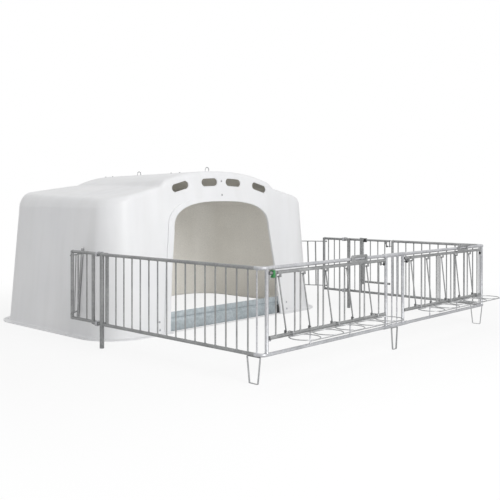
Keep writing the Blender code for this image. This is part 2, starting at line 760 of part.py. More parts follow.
# The kick board stands in two channels behind the wall, one at each side of the door.
board_near = inside + GUIDE_PLATE + RUN
slot_deep = BOARD_THICK + BOARD_FOLD_DEEP + 2 * RUN
guide_low, guide_high = up_wall(GUIDE_FOOT), up_wall(GUIDE_FOOT + GUIDE_HIGH)
for side, label in ((-1, "left"), (1, "right")):
    spots = [(side * GUIDE_BOLT_X, up_wall(z)) for z in GUIDE_BOLT_Z]
    ins, stop = BOARD_END - GUIDE_LIP, BOARD_END + RUN

    def span(bm, a, b, near, deep, high=guide_high):
        xs = sorted((side * a, side * b))
        wall_plate(bm, (xs[0], guide_low), (xs[1], high), near, deep)

    plate_part = layer(lambda bm: span(bm, GUIDE_INNER, GUIDE_REACH, inside, GUIDE_PLATE))
    if side > 0:  # the right plate has a step that shows in the door
        step = layer(lambda bm: span(bm, GUIDE_INNER - GUIDE_STEP, GUIDE_INNER + 0.05, inside + 0.0005,
                                     GUIDE_PLATE - 0.001,
                                     up_wall(GUIDE_FOOT + GUIDE_STEP_HIGH)))
        plate_part = joined(plate_part, step)
    web = layer(lambda bm: span(bm, stop, stop + 0.006, inside + GUIDE_PLATE / 2,
                                GUIDE_PLATE / 2 + slot_deep + 0.002))
    back = layer(lambda bm: span(bm, ins, stop + 0.006, inside + GUIDE_PLATE + slot_deep, 0.004))
    piece(f"board_guide_{label}", joined(
        plate_part, web, back,
        layer(lambda bm: wall_bolts(bm, spots, inside + GUIDE_PLATE / 2)),
        layer(lambda bm: wall_heads(bm, spots))), "rubber")

fold, low, high = up_wall(BOARD_FOLD), up_wall(BOARD_LIFT), up_wall(BOARD_LIFT + BOARD_HIGH)
front_side = [(low, 0), (fold - 0.02, 0), (fold - 0.008, BOARD_FOLD_DEEP), (fold + 0.008, BOARD_FOLD_DEEP),
              (fold + 0.02, 0), (high, 0)]
outline = [(y, -d) for y, d in front_side] + [(y, -d - BOARD_THICK) for y, d in reversed(front_side)]
across = wall @ Matrix.Translation((0, 0, -board_near)) @ Matrix(((0, 0, 1, 0), (1, 0, 0, 0), (0, 1, 0, 0),
                                                                  (0, 0, 0, 1)))
board = plate(outline, 2 * BOARD_END, across)
piece("kick_board", board, "board", pivot=wall @ Vector((0, low, -board_near)))


# Side panels
def rail_run(bm, x, y0, y1, z, radius=RAIL_R):
    rod(bm, (x, y0, z), (x, y1, z), radius)


def upright(bm, x, y, z0, z1, radius, sides=8):
    rod(bm, (x, y, z0), (x, y, z1), radius, sides)


def socket_cut(bm, x, y0, z):
    rod(bm, (x, y0 - 0.02, z), (x, y0 + SPIGOT_LONG + 0.003, z), SPIGOT_R + GAP)


side_start = ELBOW_END + GAP
left_x = -PEN_HALF
left_bars = [LEFT_FIRST + LEFT_PITCH * k for k in range(LEFT_BARS)]
panel = joined(
    layer(lambda bm: [rail_run(bm, left_x, side_start, LEFT_END, z) for z in (TOP_Z, BOTTOM_Z)]),
    layer(lambda bm: [upright(bm, left_x, y, BOTTOM_Z, TOP_Z, BAR_R, 6) for y in left_bars]),
    layer(lambda bm: [upright(bm, left_x, LEFT_GROUND, 0, TOP_Z + POST_TOP, GROUND_R),
                      upright(bm, left_x, LEFT_END, BOTTOM_Z - 0.012, TOP_Z + POST_TOP, END_R)]))
panel = cut(panel, layer(lambda bm: [socket_cut(bm, left_x, side_start, z) for z in (TOP_Z, BOTTOM_Z)]))
piece("left_side_panel", panel, "galvanised")

right_x = PEN_HALF
right_bars = [RIGHT_FIRST + RIGHT_PITCH * k for k in range(RIGHT_BARS)]
panel = joined(
    layer(lambda bm: [rail_run(bm, right_x, side_start, LATCH_POST, TOP_Z),
                      rail_run(bm, right_x, side_start, RIGHT_END, BOTTOM_Z),
                      rail_run(bm, right_x, HINGE_POST, RIGHT_END, TOP_Z)]),
    layer(lambda bm: [upright(bm, right_x, y, BOTTOM_Z, TOP_Z, BAR_R, 6)
                      for y in right_bars + [RIGHT_AFTER]]),
    layer(lambda bm: [upright(bm, right_x, LATCH_POST, BOTTOM_Z, TOP_Z + POST_TOP, POST_R),
                      upright(bm, right_x, HINGE_POST, BOTTOM_Z, TOP_Z + 0.030, POST_R),
                      upright(bm, right_x, RIGHT_GROUND, 0, TOP_Z + POST_TOP, GROUND_R)]),
    layer(lambda bm: [box(bm, (right_x - 0.011, DOOR_HINGE - 0.011, z0), (right_x + 0.011, HINGE_POST, z1))
                      for z0, z1 in ((DOOR_LOW - STILE_FOOT - GAP - LUG, DOOR_LOW - STILE_FOOT - GAP),
                                     (TOP_Z + STILE_HEAD + GAP, TOP_Z + STILE_HEAD + GAP + LUG))]),
    layer(lambda bm: [upright(bm, right_x, DOOR_HINGE, DOOR_LOW - STILE_FOOT - LUG / 2,
                              DOOR_LOW - STILE_FOOT + PIN_LONG - PIN_SHORT, PIN_R),
                      upright(bm, right_x, DOOR_HINGE, TOP_Z + STILE_HEAD - PIN_LONG + PIN_SHORT,
                              TOP_Z + STILE_HEAD + LUG / 2, PIN_R)]))
panel = cut(panel, layer(lambda bm: [socket_cut(bm, right_x, side_start, z) for z in (TOP_Z, BOTTOM_Z)]
                         + [rod(bm, (right_x, LATCH_POST + POST_R - BOLT_HOLE_DEEP, DOOR_BOLT_Z),
                                (right_x, LATCH_POST + 0.05, DOOR_BOLT_Z), BOLT_ROD + 0.0015)]))
piece("right_side_panel", panel, "galvanised")

# Extensions beside the rear ends of the side panels
for side, label, start, bars, end, tube_y, link_bars in (
        (-1, "left", LEFT_EXT_START, LEFT_EXT_BARS, LEFT_EXT_END, LEFT_TUBE_Y, LINK_BAR_LEFT),
        (1, "right", RIGHT_EXT_START, RIGHT_EXT_BARS, RIGHT_EXT_END, RIGHT_TUBE_Y, LINK_BAR_RIGHT)):
    x = side * EXT_PLANE
    ext = joined(
        layer(lambda bm: [rail_run(bm, x, start, end, z) for z in (TOP_Z, BOTTOM_Z)]),
        layer(lambda bm: [upright(bm, x, y, BOTTOM_Z, TOP_Z, BAR_R, 6) for y in bars]),
        layer(lambda bm: [upright(bm, x, start + 0.012, BOTTOM_Z, TOP_Z, POST_R * 0.8),
                          upright(bm, x, end, BOTTOM_Z - 0.012, TOP_Z + POST_TOP, END_R)]))
    # The link: a tube lying on the leaning hutch wall, tied to the end tube by two rods.
    def tube_at(z):
        """Middle of the wall tube at a height, clear of the wall's nearest face."""
        hit, outward, *_ = roof_tree.ray_cast(Vector((side * 3, tube_y, z)), Vector((-side, 0, 0)))
        return Vector((hit.x + side * (TUBE_R + GAP) / abs(outward.x), tube_y, z))

    wall_turn = roof_tree.ray_cast(Vector((side * 3, tube_y, LINK_TOP)), Vector((-side, 0, 0)))[1]
    tube_turn = math.pi / 8 + math.atan2(wall_turn.y, wall_turn.x * side) * side

    def rod_line(z):
        wall_end = tube_at(z)
        away = (Vector((x, end, z)) - wall_end).normalized()
        return wall_end, Vector((x, end, z)) + away * LINK_OUT

    heights = (LINK_TOP, LINK_BOTTOM)
    link = joined(
        layer(lambda bm: rod(bm, tube_at(TUBE_FOOT), tube_at(TUBE_TOP), TUBE_R, turn=tube_turn)),
        layer(lambda bm: [rod(bm, *rod_line(z), LINK_ROD, 6) for z in heights]),
        layer(lambda bm: [rod(bm, rod_line(LINK_BOTTOM)[0].lerp(Vector((x, end, LINK_BOTTOM)), share),
                              rod_line(LINK_TOP)[0].lerp(Vector((x, end, LINK_TOP)), share), link_bars[0],
                              6)
                          for share in link_bars[1]]),
        layer(lambda bm: [rod(bm, rod_line(z)[1]
                              + (rod_line(z)[0] - rod_line(z)[1]).normalized() * LINK_KNOB_LONG,
                              rod_line(z)[1], LINK_KNOB_R, 6) for z in heights]))
    ext = cut(ext, layer(lambda bm: [rod(bm, rod_line(z)[1] + (rod_line(z)[1] - rod_line(z)[0]) * 0.2,
                                         Vector((x, end, z)).lerp(rod_line(z)[0], 0.6), LINK_ROD + GAP, 6)
                                         for z in heights]))
    piece(f"{label}_extension", ext, "galvanised")
    piece(f"{label}_wall_link", link, "galvanised")

# Clamp blocks round both rails
for side, label, y in ((-1, "left", LEFT_CLAMP), (1, "right", RIGHT_CLAMP)):
    for level, z in (("top", TOP_Z), ("bottom", BOTTOM_Z)):
        reach = RAIL_R + CLAMP_WALL
        xs = sorted((side * (PEN_HALF + reach), side * (EXT_PLANE - reach)))
        block = layer(lambda bm: box(bm, (xs[0], y - CLAMP_LONG / 2, z - reach),
                                     (xs[1], y + CLAMP_LONG / 2, z + reach)))
        bores = layer(lambda bm: [rail_run(bm, side * plane, y - 0.05, y + 0.05, z, RAIL_R + GAP)
                                  for plane in (PEN_HALF, EXT_PLANE)])
        piece(f"{label}_clamp_{level}", cut(block, bores), "bright")


# Front fence
def front_rail(side, z):
    """From the elbow at the side, round the corner and along the front to the middle."""
    bend = arc((-PEN_HALF + ELBOW_R, ELBOW_R), ELBOW_R, 180, 270, 5)
    points = [(-PEN_HALF, ELBOW_END)] + bend + [(-RAIL_STOP, 0)]
    return wire([(-side * x, y, z) for x, y in points], RAIL_R, 8, turn=math.pi / 8)


seat_top = GATE_TOP - GATE_RAIL_R - GAP
seat_low = GATE_LOW - GATE_LOW_R - GAP
for side, label, stubs in ((-1, "left", STUBS_LEFT), (1, "right", STUBS_RIGHT)):
    post_x, hinge_x = side * CORNER_POST, side * GATE_HINGE
    reach = sorted((post_x, hinge_x - side * 0.011))
    frame = joined(
        layer(lambda bm: [upright(bm, post_x, 0, BOTTOM_Z, TOP_Z, POST_R),
                          upright(bm, side * PEN_HALF, CORNER_BAR, BOTTOM_Z, TOP_Z, BAR_R, 6)]
              + [upright(bm, side * s, 0, BOTTOM_Z, seat_low, BAR_R, 6) for s in stubs]),
        front_rail(side, TOP_Z), front_rail(side, BOTTOM_Z),
        layer(lambda bm: [box(bm, (reach[0], -0.011, s - LUG), (reach[1], 0.011, s))
                          for s in (seat_top, seat_low)]),
        layer(lambda bm: [upright(bm, hinge_x, 0, seat_top - LUG - HINGE_TAIL, seat_top + PIN_UP,
                                  HINGE_PIN_R),
                          upright(bm, hinge_x, 0, seat_low - LUG - 0.004, seat_low + PIN_UP, HINGE_PIN_R)]),
        layer(lambda bm: [rod(bm, (side * PEN_HALF, ELBOW_END - 0.02, z),
                              (side * PEN_HALF, ELBOW_END + SPIGOT_LONG, z), SPIGOT_R)
                          for z in (TOP_Z, BOTTOM_Z)]))
    piece(f"{label}_front_frame", frame, "bright")

posts = (-MID_POST, MID_POST)
centre = joined(
    layer(lambda bm: [rod(bm, (ends[0], 0, z), (ends[1], 0, z), SLEEVE_R)
                      for ends, z in ((SLEEVE_HIGH, TOP_Z), (SLEEVE_LOW, BOTTOM_Z))]),
    layer(lambda bm: [upright(bm, x, 0, BOTTOM_Z, TOP_Z, POST_R) for x in posts]
          + [upright(bm, x, 0, BOTTOM_Z, TOP_Z, BAR_R, 6) for x in (-MID_BAR, MID_BAR)]),
    layer(lambda bm: [box(bm, (min(x, x * STOP_REACH / MID_POST), GATE_RAIL_R + RUN, GATE_TOP - 0.012),
                          (max(x, x * STOP_REACH / MID_POST), GATE_RAIL_R + RUN + STOP_THICK,
                           GATE_TOP + 0.012)) for x in posts]))
centre = cut(centre,
             layer(lambda bm: [rod(bm, (-0.4, 0, z), (0.4, 0, z), RAIL_R + GAP)
                               for z in (TOP_Z, BOTTOM_Z)]),
             layer(lambda bm: [rod(bm, (x * 1.5, 0, BOLT_Z),
                                   (x + math.copysign(1, x) * (POST_R - BOLT_HOLE_DEEP), 0, BOLT_Z),
                                   BOLT_ROD + 0.0015) for x in posts]))
piece("centre_frame", centre, "bright")


# Feet: bent strip under the rails
def foot(name, spot, half_top, half_low, top_z, along):
    turned = Matrix(((along[0], 0, along[1], spot[0]), (along[1], 0, -along[0], spot[1]), (0, 1, 0, 0),
                     (0, 0, 0, 1)))
    outer = [(-half_top, top_z), (half_top, top_z), (half_low, 0), (-half_low, 0)]
    slope = (half_top - half_low) / top_z
    thick = FOOT_THICK
    side_in = thick * math.sqrt(1 + slope * slope)

    def half_at(z):
        return half_low + slope * z - side_in

    inner = [(-half_at(top_z - thick), top_z - thick), (half_at(top_z - thick), top_z - thick),
             (half_at(thick), thick), (-half_at(thick), thick)]
    strip = cut(plate(outer, FOOT_WIDE, turned), plate(inner, FOOT_WIDE * 2, turned))
    piece(name, strip, "steel", pivot=(*spot, top_z))


side_foot_top = BOTTOM_Z - RAIL_R - GAP
foot("left_foot", (-PEN_HALF, FOOT_SIDE_Y), FOOT_TOP_SIDE / 2, FOOT_LOW_SIDE / 2, side_foot_top, (0, 1))
foot("right_foot", (PEN_HALF, FOOT_SIDE_Y), FOOT_TOP_SIDE / 2, FOOT_LOW_SIDE / 2, side_foot_top, (0, 1))
foot("centre_foot", (0, 0), FOOT_TOP_MID / 2, FOOT_LOW_MID / 2, BOTTOM_Z - SLEEVE_R - GAP, (1, 0))

# Feed gates, each on an empty at its hinge line
neck_out = NECK_R / math.cos(math.pi / 6)
fork_half = NECK_R / math.cos(NECK_LEAN) + FORK_HIGH / 2 * math.tan(NECK_LEAN) + FORK_CLEAR
fork_back = (FORK_Z - NECK_PIVOT_Z) * math.tan(NECK_LEAN)
slide_near, slide_far = -SLIDE_Y - SLIDE_THICK, -SLIDE_Y
for side, label in ((-1, "left"), (1, "right")):
    left_gate = side < 0
    hinge = axis_empty(f"{label}_gate_hinge", (side * GATE_HINGE, 0, GATE_LOW))
    starts = [(-PLACE_FIRST if left_gate else PLACE_FIRST - (PLACES - 1) * PLACE_PITCH - PLACE_GAP)
              + k * PLACE_PITCH
              for k in range(PLACES)]
    pivots = [x + PIVOT_IN for x in starts]
    rails_x = sorted((side * GATE_OUTER, side * GATE_INNER))
    guides = GUIDES_LEFT if left_gate else GUIDES_RIGHT
    pair_mids = [x + PLACE_GAP + (PLACE_PITCH - PLACE_GAP) / 2 for x in starts[:-1]]
    lip_z = GATE_TOP - SLIDE_HIGH / 2 - RUN
    front_y = slide_near - RUN

    def keepers(bm):
        for x in pair_mids:
            box(bm, (x - KEEPER_WIDE / 2, front_y - KEEPER_THICK, lip_z - KEEPER_THICK),
                (x + KEEPER_WIDE / 2, -0.004, lip_z))

    def keeper_fronts(bm):
        for x in pair_mids:
            box(bm, (x - KEEPER_WIDE / 2 + 0.002, front_y - KEEPER_THICK, lip_z - KEEPER_THICK / 2),
                (x + KEEPER_WIDE / 2 - 0.002, front_y, GATE_TOP - 0.002))

    leaf = joined(
        layer(lambda bm: [rod(bm, (rails_x[0], 0, GATE_TOP), (rails_x[1], 0, GATE_TOP), GATE_RAIL_R),
                          rod(bm, (rails_x[0], 0, GATE_LOW), (rails_x[1], 0, GATE_LOW), GATE_LOW_R)]),
        layer(lambda bm: [upright(bm, x + d, 0, GATE_LOW, GATE_TOP, BAR_R, 6) for x in starts
                          for d in (0, PLACE_GAP)]),
        layer(lambda bm: [box(bm, (x - 0.012, LUG_BACK, GATE_LOW),
                              (x + 0.012, LUG_BACK + LUG_THICK, NECK_PIVOT_Z + 0.011)) for x in pivots]
              + [box(bm, (side * g - 0.0025, -0.012, BOLT_Z - 0.011),
                     (side * g + 0.0025, 0.012, GATE_TOP - 0.008)) for g in guides]),
        layer(lambda bm: [rod(bm, (x, LUG_BACK + LUG_THICK / 2, NECK_PIVOT_Z),
                              (x, -neck_out - RUN - 0.0015, NECK_PIVOT_Z), NECK_PIN_R, 6) for x in pivots]),
        layer(lambda bm: [rod(bm, (x, -neck_out - RUN, NECK_PIVOT_Z),
                              (x, -neck_out - RUN - 0.003, NECK_PIVOT_Z), NECK_PIN_R * 1.7, 6)
                              for x in pivots]),
        layer(keepers), layer(keeper_fronts))
    tools = [layer(lambda bm: [upright(bm, side * GATE_HINGE, 0, GATE_TOP - GATE_RAIL_R - 0.01,
                                       seat_top + PIN_UP + 0.002, HINGE_PIN_R + RUN),
                               upright(bm, side * GATE_HINGE, 0, GATE_LOW - GATE_LOW_R - 0.01,
                                       seat_low + PIN_UP + 0.002, HINGE_PIN_R + RUN),
                               rod(bm, (side * (guides[0] + 0.024), 0, BOLT_Z),
                                   (side * (guides[1] - 0.010), 0, BOLT_Z), BOLT_ROD + GAP)])]
    if left_gate:
        tools.append(layer(lambda bm: rod(bm, (-GATE_INNER + 0.02, 0, GATE_TOP),
                                          (-GATE_INNER - PLUG_DEEP - 0.001, 0, GATE_TOP),
                                          PLUG_R * 0.6 + GAP)))
    piece(f"{label}_gate", cut(leaf, *tools), "galvanised", pivot=(side * GATE_HINGE, 0, GATE_LOW),
          parent=hinge)

    # Neck bars, all leaning to the left
    for k, x in enumerate(pivots, 1):
        lean = Vector((-math.sin(NECK_LEAN), 0, math.cos(NECK_LEAN)))
        pivot = Vector((x, 0, NECK_PIVOT_Z))
        bar = layer(lambda bm: rod(bm, pivot - lean * NECK_FOOT, pivot + lean * NECK_LONG, NECK_R, 6,
                                   turn=math.pi / 6))
        bore = layer(lambda bm: rod(bm, pivot - Vector((0, 0.03, 0)), pivot + Vector((0, 0.03, 0)),
                                    NECK_PIN_R + RUN, 6))
        piece(f"{label}_neck_bar_{k}", cut(bar, bore), "galvanised", pivot=pivot, parent=hinge)

    # Lock slide: a flat bar with a handle plate above the rail and a fork at each neck bar
    forks = [x - fork_back for x in pivots]
    grip_place, *grip_ends = HANDLE_LEFT if left_gate else HANDLE_RIGHT
    grip = [starts[grip_place] + end for end in grip_ends]
    low_edge, high_edge = GATE_TOP - SLIDE_HIGH / 2, GATE_TOP + SLIDE_HIGH / 2
    chamfer = 0.012
    outline = [(forks[0] - 0.03, low_edge), (forks[-1] + 0.03, low_edge), (forks[-1] + 0.03, high_edge),
               (grip[1], high_edge), (grip[1], HANDLE_TOP - chamfer), (grip[1] - chamfer, HANDLE_TOP),
               (grip[0] + chamfer, HANDLE_TOP), (grip[0], HANDLE_TOP - chamfer), (grip[0], high_edge),
               (forks[0] - 0.03, high_edge)]
    stand = Matrix.Translation((0, -SLIDE_Y - SLIDE_THICK / 2, 0)) @ Matrix.Rotation(math.pi / 2, 4, "X")
    fork_low = FORK_Z - FORK_HIGH / 2
    slide = joined(
        plate(outline, SLIDE_THICK, stand),
        layer(lambda bm: [box(bm, (x - fork_half - FORK_THICK + 0.0005, slide_near + 0.0005,
                                   fork_low + 0.0005),
                              (x + fork_half + FORK_THICK - 0.0005, slide_far - 0.0005, low_edge + 0.006))
                              for x in forks]),
        layer(lambda bm: [box(bm, (*(sorted((x + s * fork_half, x + s * (fork_half + FORK_THICK)))[:1]),
                                   slide_near + 0.002, fork_low),
                              (sorted((x + s * fork_half, x + s * (fork_half + FORK_THICK)))[1], 0.006,
                               fork_low + FORK_HIGH))
                          for x in forks for s in (-1, 1)]))
    slot = arc((grip[1] - GRIP_SLOT[1] - GRIP_HIGH / 2, GRIP_Z), GRIP_HIGH / 2, -90, 90, 4)
    slot += arc((grip[0] + GRIP_SLOT[0] + GRIP_HIGH / 2, GRIP_Z), GRIP_HIGH / 2, 90, 270, 4)
    slide = cut(slide, plate(slot, SLIDE_THICK * 3, stand))
    piece(f"{label}_lock_slide", slide, "galvanised", pivot=(grip[0], -SLIDE_Y, GATE_TOP), parent=hinge)

    # Bucket rack: rings on two rods, hooked over the lower rail
    middles = [x + PIVOT_IN + (PLACE_GAP - PIVOT_IN) / 2 for x in starts]
    rod_z = RACK_Z - RING_WIRE * 1.2
    inner_y, outer_y = RACK_Y + RING_R - RACK_IN, RACK_Y - RING_R + RACK_IN
    rings = joined(*[wire([(x + a, RACK_Y + b, RACK_Z) for a,
                           b in arc((0, 0), RING_R, -90, 270, RING_SIDES)[:-1]],
                          RING_WIRE, 6, closed=True) for x in middles[:1]])
    rack_rods = layer(lambda bm: [rod(bm, (middles[0] - RACK_OVER, y, rod_z),
                                      (middles[-1] + RACK_OVER, y, rod_z), RING_WIRE, 6)
                                  for y in (inner_y, outer_y)])
    others = [wire([(x + a, RACK_Y + b, RACK_Z) for a, b in arc((0, 0), RING_R, -90, 270, RING_SIDES)[:-1]],
                   RING_WIRE, 6, closed=True) for x in middles[1:]]
    over = GATE_LOW + GATE_LOW_R + GAP + RING_WIRE
    back = GATE_LOW_R + GAP + RING_WIRE / math.cos(math.pi / 6)
    hooks = [wire(bent([(middles[k], inner_y, rod_z), (middles[k], inner_y, over), (middles[k], back, over),
                        (middles[k], back, GATE_LOW - 0.004)], HOOK_BEND), RING_WIRE, 6) for k in HOOKS]
    rack = joined(rack_rods, rings, *others, *hooks)
    piece(f"{label}_bucket_rack", rack, "steel", pivot=(side * GATE_HINGE, 0, GATE_LOW), parent=hinge)

    # Latch bolt with its knob
    knob_x = side * (KNOB_LEFT if left_gate else KNOB_RIGHT)
    tip = MID_POST + POST_R + RUN
    bolt = joined(
        layer(lambda bm: rod(bm, (side * tip, 0, BOLT_Z), (side * (tip + BOLT_LONG), 0, BOLT_Z), BOLT_ROD)),
        layer(lambda bm: rod(bm, (knob_x, 0.001, BOLT_Z), (knob_x, -STEM_OUT, BOLT_Z), BOLT_ROD * 0.8, 6)))
    piece(f"{label}_gate_bolt", bolt, "steel", pivot=(side * tip, 0, BOLT_Z), parent=hinge)
    knob = layer(lambda bm: rod(bm, (knob_x, -KNOB_FROM, BOLT_Z), (knob_x, -KNOB_FROM - KNOB_LONG, BOLT_Z),
                                KNOB_R))
    socket = layer(lambda bm: rod(bm, (knob_x, 0.01, BOLT_Z), (knob_x, -STEM_OUT - GAP, BOLT_Z),
                                  BOLT_ROD * 0.8 + GAP, 6))
    piece(f"{label}_gate_knob", cut(knob, socket), "rubber", pivot=(knob_x, 0, BOLT_Z), parent=hinge)

# Plastic trim of the gates
hinges = {label: bpy.data.objects[f"{label}_gate_hinge"] for label in ("left", "right")}
plug = joined(layer(lambda bm: rod(bm, (-GATE_INNER + GAP, 0, GATE_TOP),
                                   (-GATE_INNER + PLUG_HEAD, 0, GATE_TOP), PLUG_R)),
              layer(lambda bm: rod(bm, (-GATE_INNER + PLUG_HEAD / 2, 0, GATE_TOP),
                                   (-GATE_INNER - PLUG_DEEP, 0, GATE_TOP), PLUG_R * 0.6)))
piece("left_gate_plug", plug, "rubber", pivot=(-GATE_INNER, 0, GATE_TOP), parent=hinges["left"])
clip = layer(lambda bm: box(bm, (-CLIP_X - CLIP_WIDE / 2, -GATE_RAIL_R - CLIP_WALL, CLIP_LOW),
                            (-CLIP_X + CLIP_WIDE / 2, GATE_RAIL_R + CLIP_WALL, CLIP_HIGH)))
clip = cut(clip, layer(lambda bm: rod(bm, (-CLIP_X - 0.03, 0, GATE_TOP), (-CLIP_X + 0.03, 0, GATE_TOP),
                                      GATE_RAIL_R + GAP)))
piece("left_gate_clip", clip, "green", pivot=(-CLIP_X, 0, GATE_TOP), parent=hinges["left"])
cap_top = seat_top - LUG - GAP
cap = layer(lambda bm: upright(bm, GATE_HINGE, 0, cap_top - CAP_TALL, cap_top, CAP_R))
cap = cut(cap, layer(lambda bm: upright(bm, GATE_HINGE, 0, seat_top - LUG - HINGE_TAIL - GAP,
                                        cap_top + 0.01, HINGE_PIN_R + GAP)))
piece("right_hinge_cap", cap, "rubber", pivot=(GATE_HINGE, 0, cap_top))

# Man door in the right side panel
swing = axis_empty("man_door_hinge", (right_x, DOOR_HINGE, DOOR_LOW))
stile_low, stile_high = DOOR_LOW - STILE_FOOT, TOP_Z + STILE_HEAD
loop_x = right_x + POST_R / math.cos(math.pi / 8) + RUN + LOOP_R / math.cos(math.pi / 6)
loop_line = [(right_x, DOOR_BARS[0], LOOP_LOW), (loop_x, DOOR_BARS[0], LOOP_LOW + 0.006),
             (loop_x, DOOR_BARS[0], LOOP_TOP - 0.02),
             (loop_x, DOOR_BARS[0] - 0.02, LOOP_TOP), (loop_x, LOOP_END + 0.02, LOOP_TOP),
             (loop_x, LOOP_END, LOOP_TOP - 0.02),
             (loop_x, LOOP_END, LOOP_LOW)]
door = joined(
    layer(lambda bm: [rod(bm, (right_x, DOOR_START, TOP_Z), (right_x, DOOR_HINGE + 0.002, TOP_Z),
                          DOOR_RAIL_R),
                      rod(bm, (right_x, DOOR_START, DOOR_LOW), (right_x, DOOR_HINGE + 0.002, DOOR_LOW),
                          DOOR_LOW_R - 0.003)]),
    layer(lambda bm: [upright(bm, right_x, y, DOOR_LOW, TOP_Z, BAR_R, 6) for y in DOOR_BARS]
          + [upright(bm, right_x, DOOR_HINGE, stile_low, stile_high, STILE_R)]),
    layer(lambda bm: [box(bm, (right_x - 0.012, y - 0.0025, DOOR_BOLT_Z - 0.011),
                          (right_x + 0.012, y + 0.0025, TOP_Z - 0.008)) for y in DOOR_GUIDES]),
    wire(loop_line, LOOP_R, 6))
door = cut(door, layer(lambda bm: [upright(bm, right_x, DOOR_HINGE, stile_low - 0.01, stile_low + PIN_LONG,
                                           PIN_R + RUN),
                                   upright(bm, right_x, DOOR_HINGE, stile_high - PIN_LONG,
                                           stile_high + 0.01, PIN_R + RUN),
                                   rod(bm, (right_x, DOOR_START - 0.01, DOOR_BOLT_Z),
                                       (right_x, DOOR_GUIDES[1] + 0.012, DOOR_BOLT_Z), BOLT_ROD + GAP)]))
piece("man_door", door, "galvanised", pivot=(right_x, DOOR_HINGE, DOOR_LOW), parent=swing)
door_tip = LATCH_POST + POST_R + RUN
bolt = joined(
    layer(lambda bm: rod(bm, (right_x, door_tip, DOOR_BOLT_Z), (right_x, DOOR_BOLT_BACK, DOOR_BOLT_Z),
                         BOLT_ROD)),
    layer(lambda bm: rod(bm, (right_x + 0.001, DOOR_KNOB_Y, DOOR_BOLT_Z),
                         (right_x - STEM_OUT, DOOR_KNOB_Y, DOOR_BOLT_Z), BOLT_ROD * 0.8, 6)))
piece("man_door_bolt", bolt, "steel", pivot=(right_x, door_tip, DOOR_BOLT_Z), parent=swing)
knob = layer(lambda bm: rod(bm, (right_x - KNOB_FROM, DOOR_KNOB_Y, DOOR_BOLT_Z),
                            (right_x - KNOB_FROM - KNOB_LONG, DOOR_KNOB_Y, DOOR_BOLT_Z), KNOB_R))
knob = cut(knob,
           layer(lambda bm: rod(bm, (right_x + 0.01, DOOR_KNOB_Y, DOOR_BOLT_Z),
                                (right_x - STEM_OUT - GAP, DOOR_KNOB_Y, DOOR_BOLT_Z), BOLT_ROD * 0.8 + GAP,
                                6)))
piece("man_door_knob", knob, "rubber", pivot=(right_x, DOOR_KNOB_Y, DOOR_BOLT_Z), parent=swing)
block = layer(lambda bm: box(bm, (right_x - DOOR_RAIL_R - CLIP_WALL, DOOR_BLOCK_Y - DOOR_BLOCK / 2,
                                  TOP_Z - 0.030),
                             (right_x + DOOR_RAIL_R + CLIP_WALL, DOOR_BLOCK_Y + DOOR_BLOCK / 2,
                              TOP_Z + 0.024)))
block = cut(block, layer(lambda bm: rod(bm, (right_x, DOOR_BLOCK_Y - 0.03, TOP_Z),
                                        (right_x, DOOR_BLOCK_Y + 0.03, TOP_Z), DOOR_RAIL_R + GAP)))
piece("man_door_block", block, "rubber", pivot=(right_x, DOOR_BLOCK_Y, TOP_Z), parent=swing)
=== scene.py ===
import json
import math

import bmesh
import bpy
from mathutils import Matrix, Vector
from mathutils.bvhtree import BVHTree

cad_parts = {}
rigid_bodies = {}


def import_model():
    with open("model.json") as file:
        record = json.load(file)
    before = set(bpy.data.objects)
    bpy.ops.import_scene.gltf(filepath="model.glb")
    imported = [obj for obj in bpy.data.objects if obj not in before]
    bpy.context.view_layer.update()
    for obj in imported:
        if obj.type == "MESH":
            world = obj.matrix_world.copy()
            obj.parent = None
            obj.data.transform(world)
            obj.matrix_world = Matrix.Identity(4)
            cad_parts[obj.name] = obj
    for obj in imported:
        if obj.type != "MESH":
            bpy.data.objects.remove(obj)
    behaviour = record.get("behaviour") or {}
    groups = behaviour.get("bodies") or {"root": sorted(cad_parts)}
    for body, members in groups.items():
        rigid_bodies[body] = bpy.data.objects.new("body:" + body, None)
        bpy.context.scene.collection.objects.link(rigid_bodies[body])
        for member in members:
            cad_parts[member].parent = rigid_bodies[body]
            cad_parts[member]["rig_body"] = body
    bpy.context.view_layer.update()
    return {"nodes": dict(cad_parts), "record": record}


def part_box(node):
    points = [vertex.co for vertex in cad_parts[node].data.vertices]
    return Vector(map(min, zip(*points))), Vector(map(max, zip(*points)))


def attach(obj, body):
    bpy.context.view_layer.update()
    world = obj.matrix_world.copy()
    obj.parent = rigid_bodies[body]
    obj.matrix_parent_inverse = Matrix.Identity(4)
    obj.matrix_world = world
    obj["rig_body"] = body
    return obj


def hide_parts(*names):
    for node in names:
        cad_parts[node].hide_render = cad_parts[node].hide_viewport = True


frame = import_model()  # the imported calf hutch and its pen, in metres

scene = bpy.context.scene
scene.view_settings.view_transform = "Standard"
slotOfNode = {part["node"]: part["material_slot"] for part in frame["record"]["subparts"]}

# Everything along Y is measured from the plane of the front fence, which the middle foot stands in.
footLow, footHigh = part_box("centre_foot")
fenceY = (footLow.y + footHigh.y) / 2


def spot(x, y, z):
    return Vector((x, y + fenceY, z))


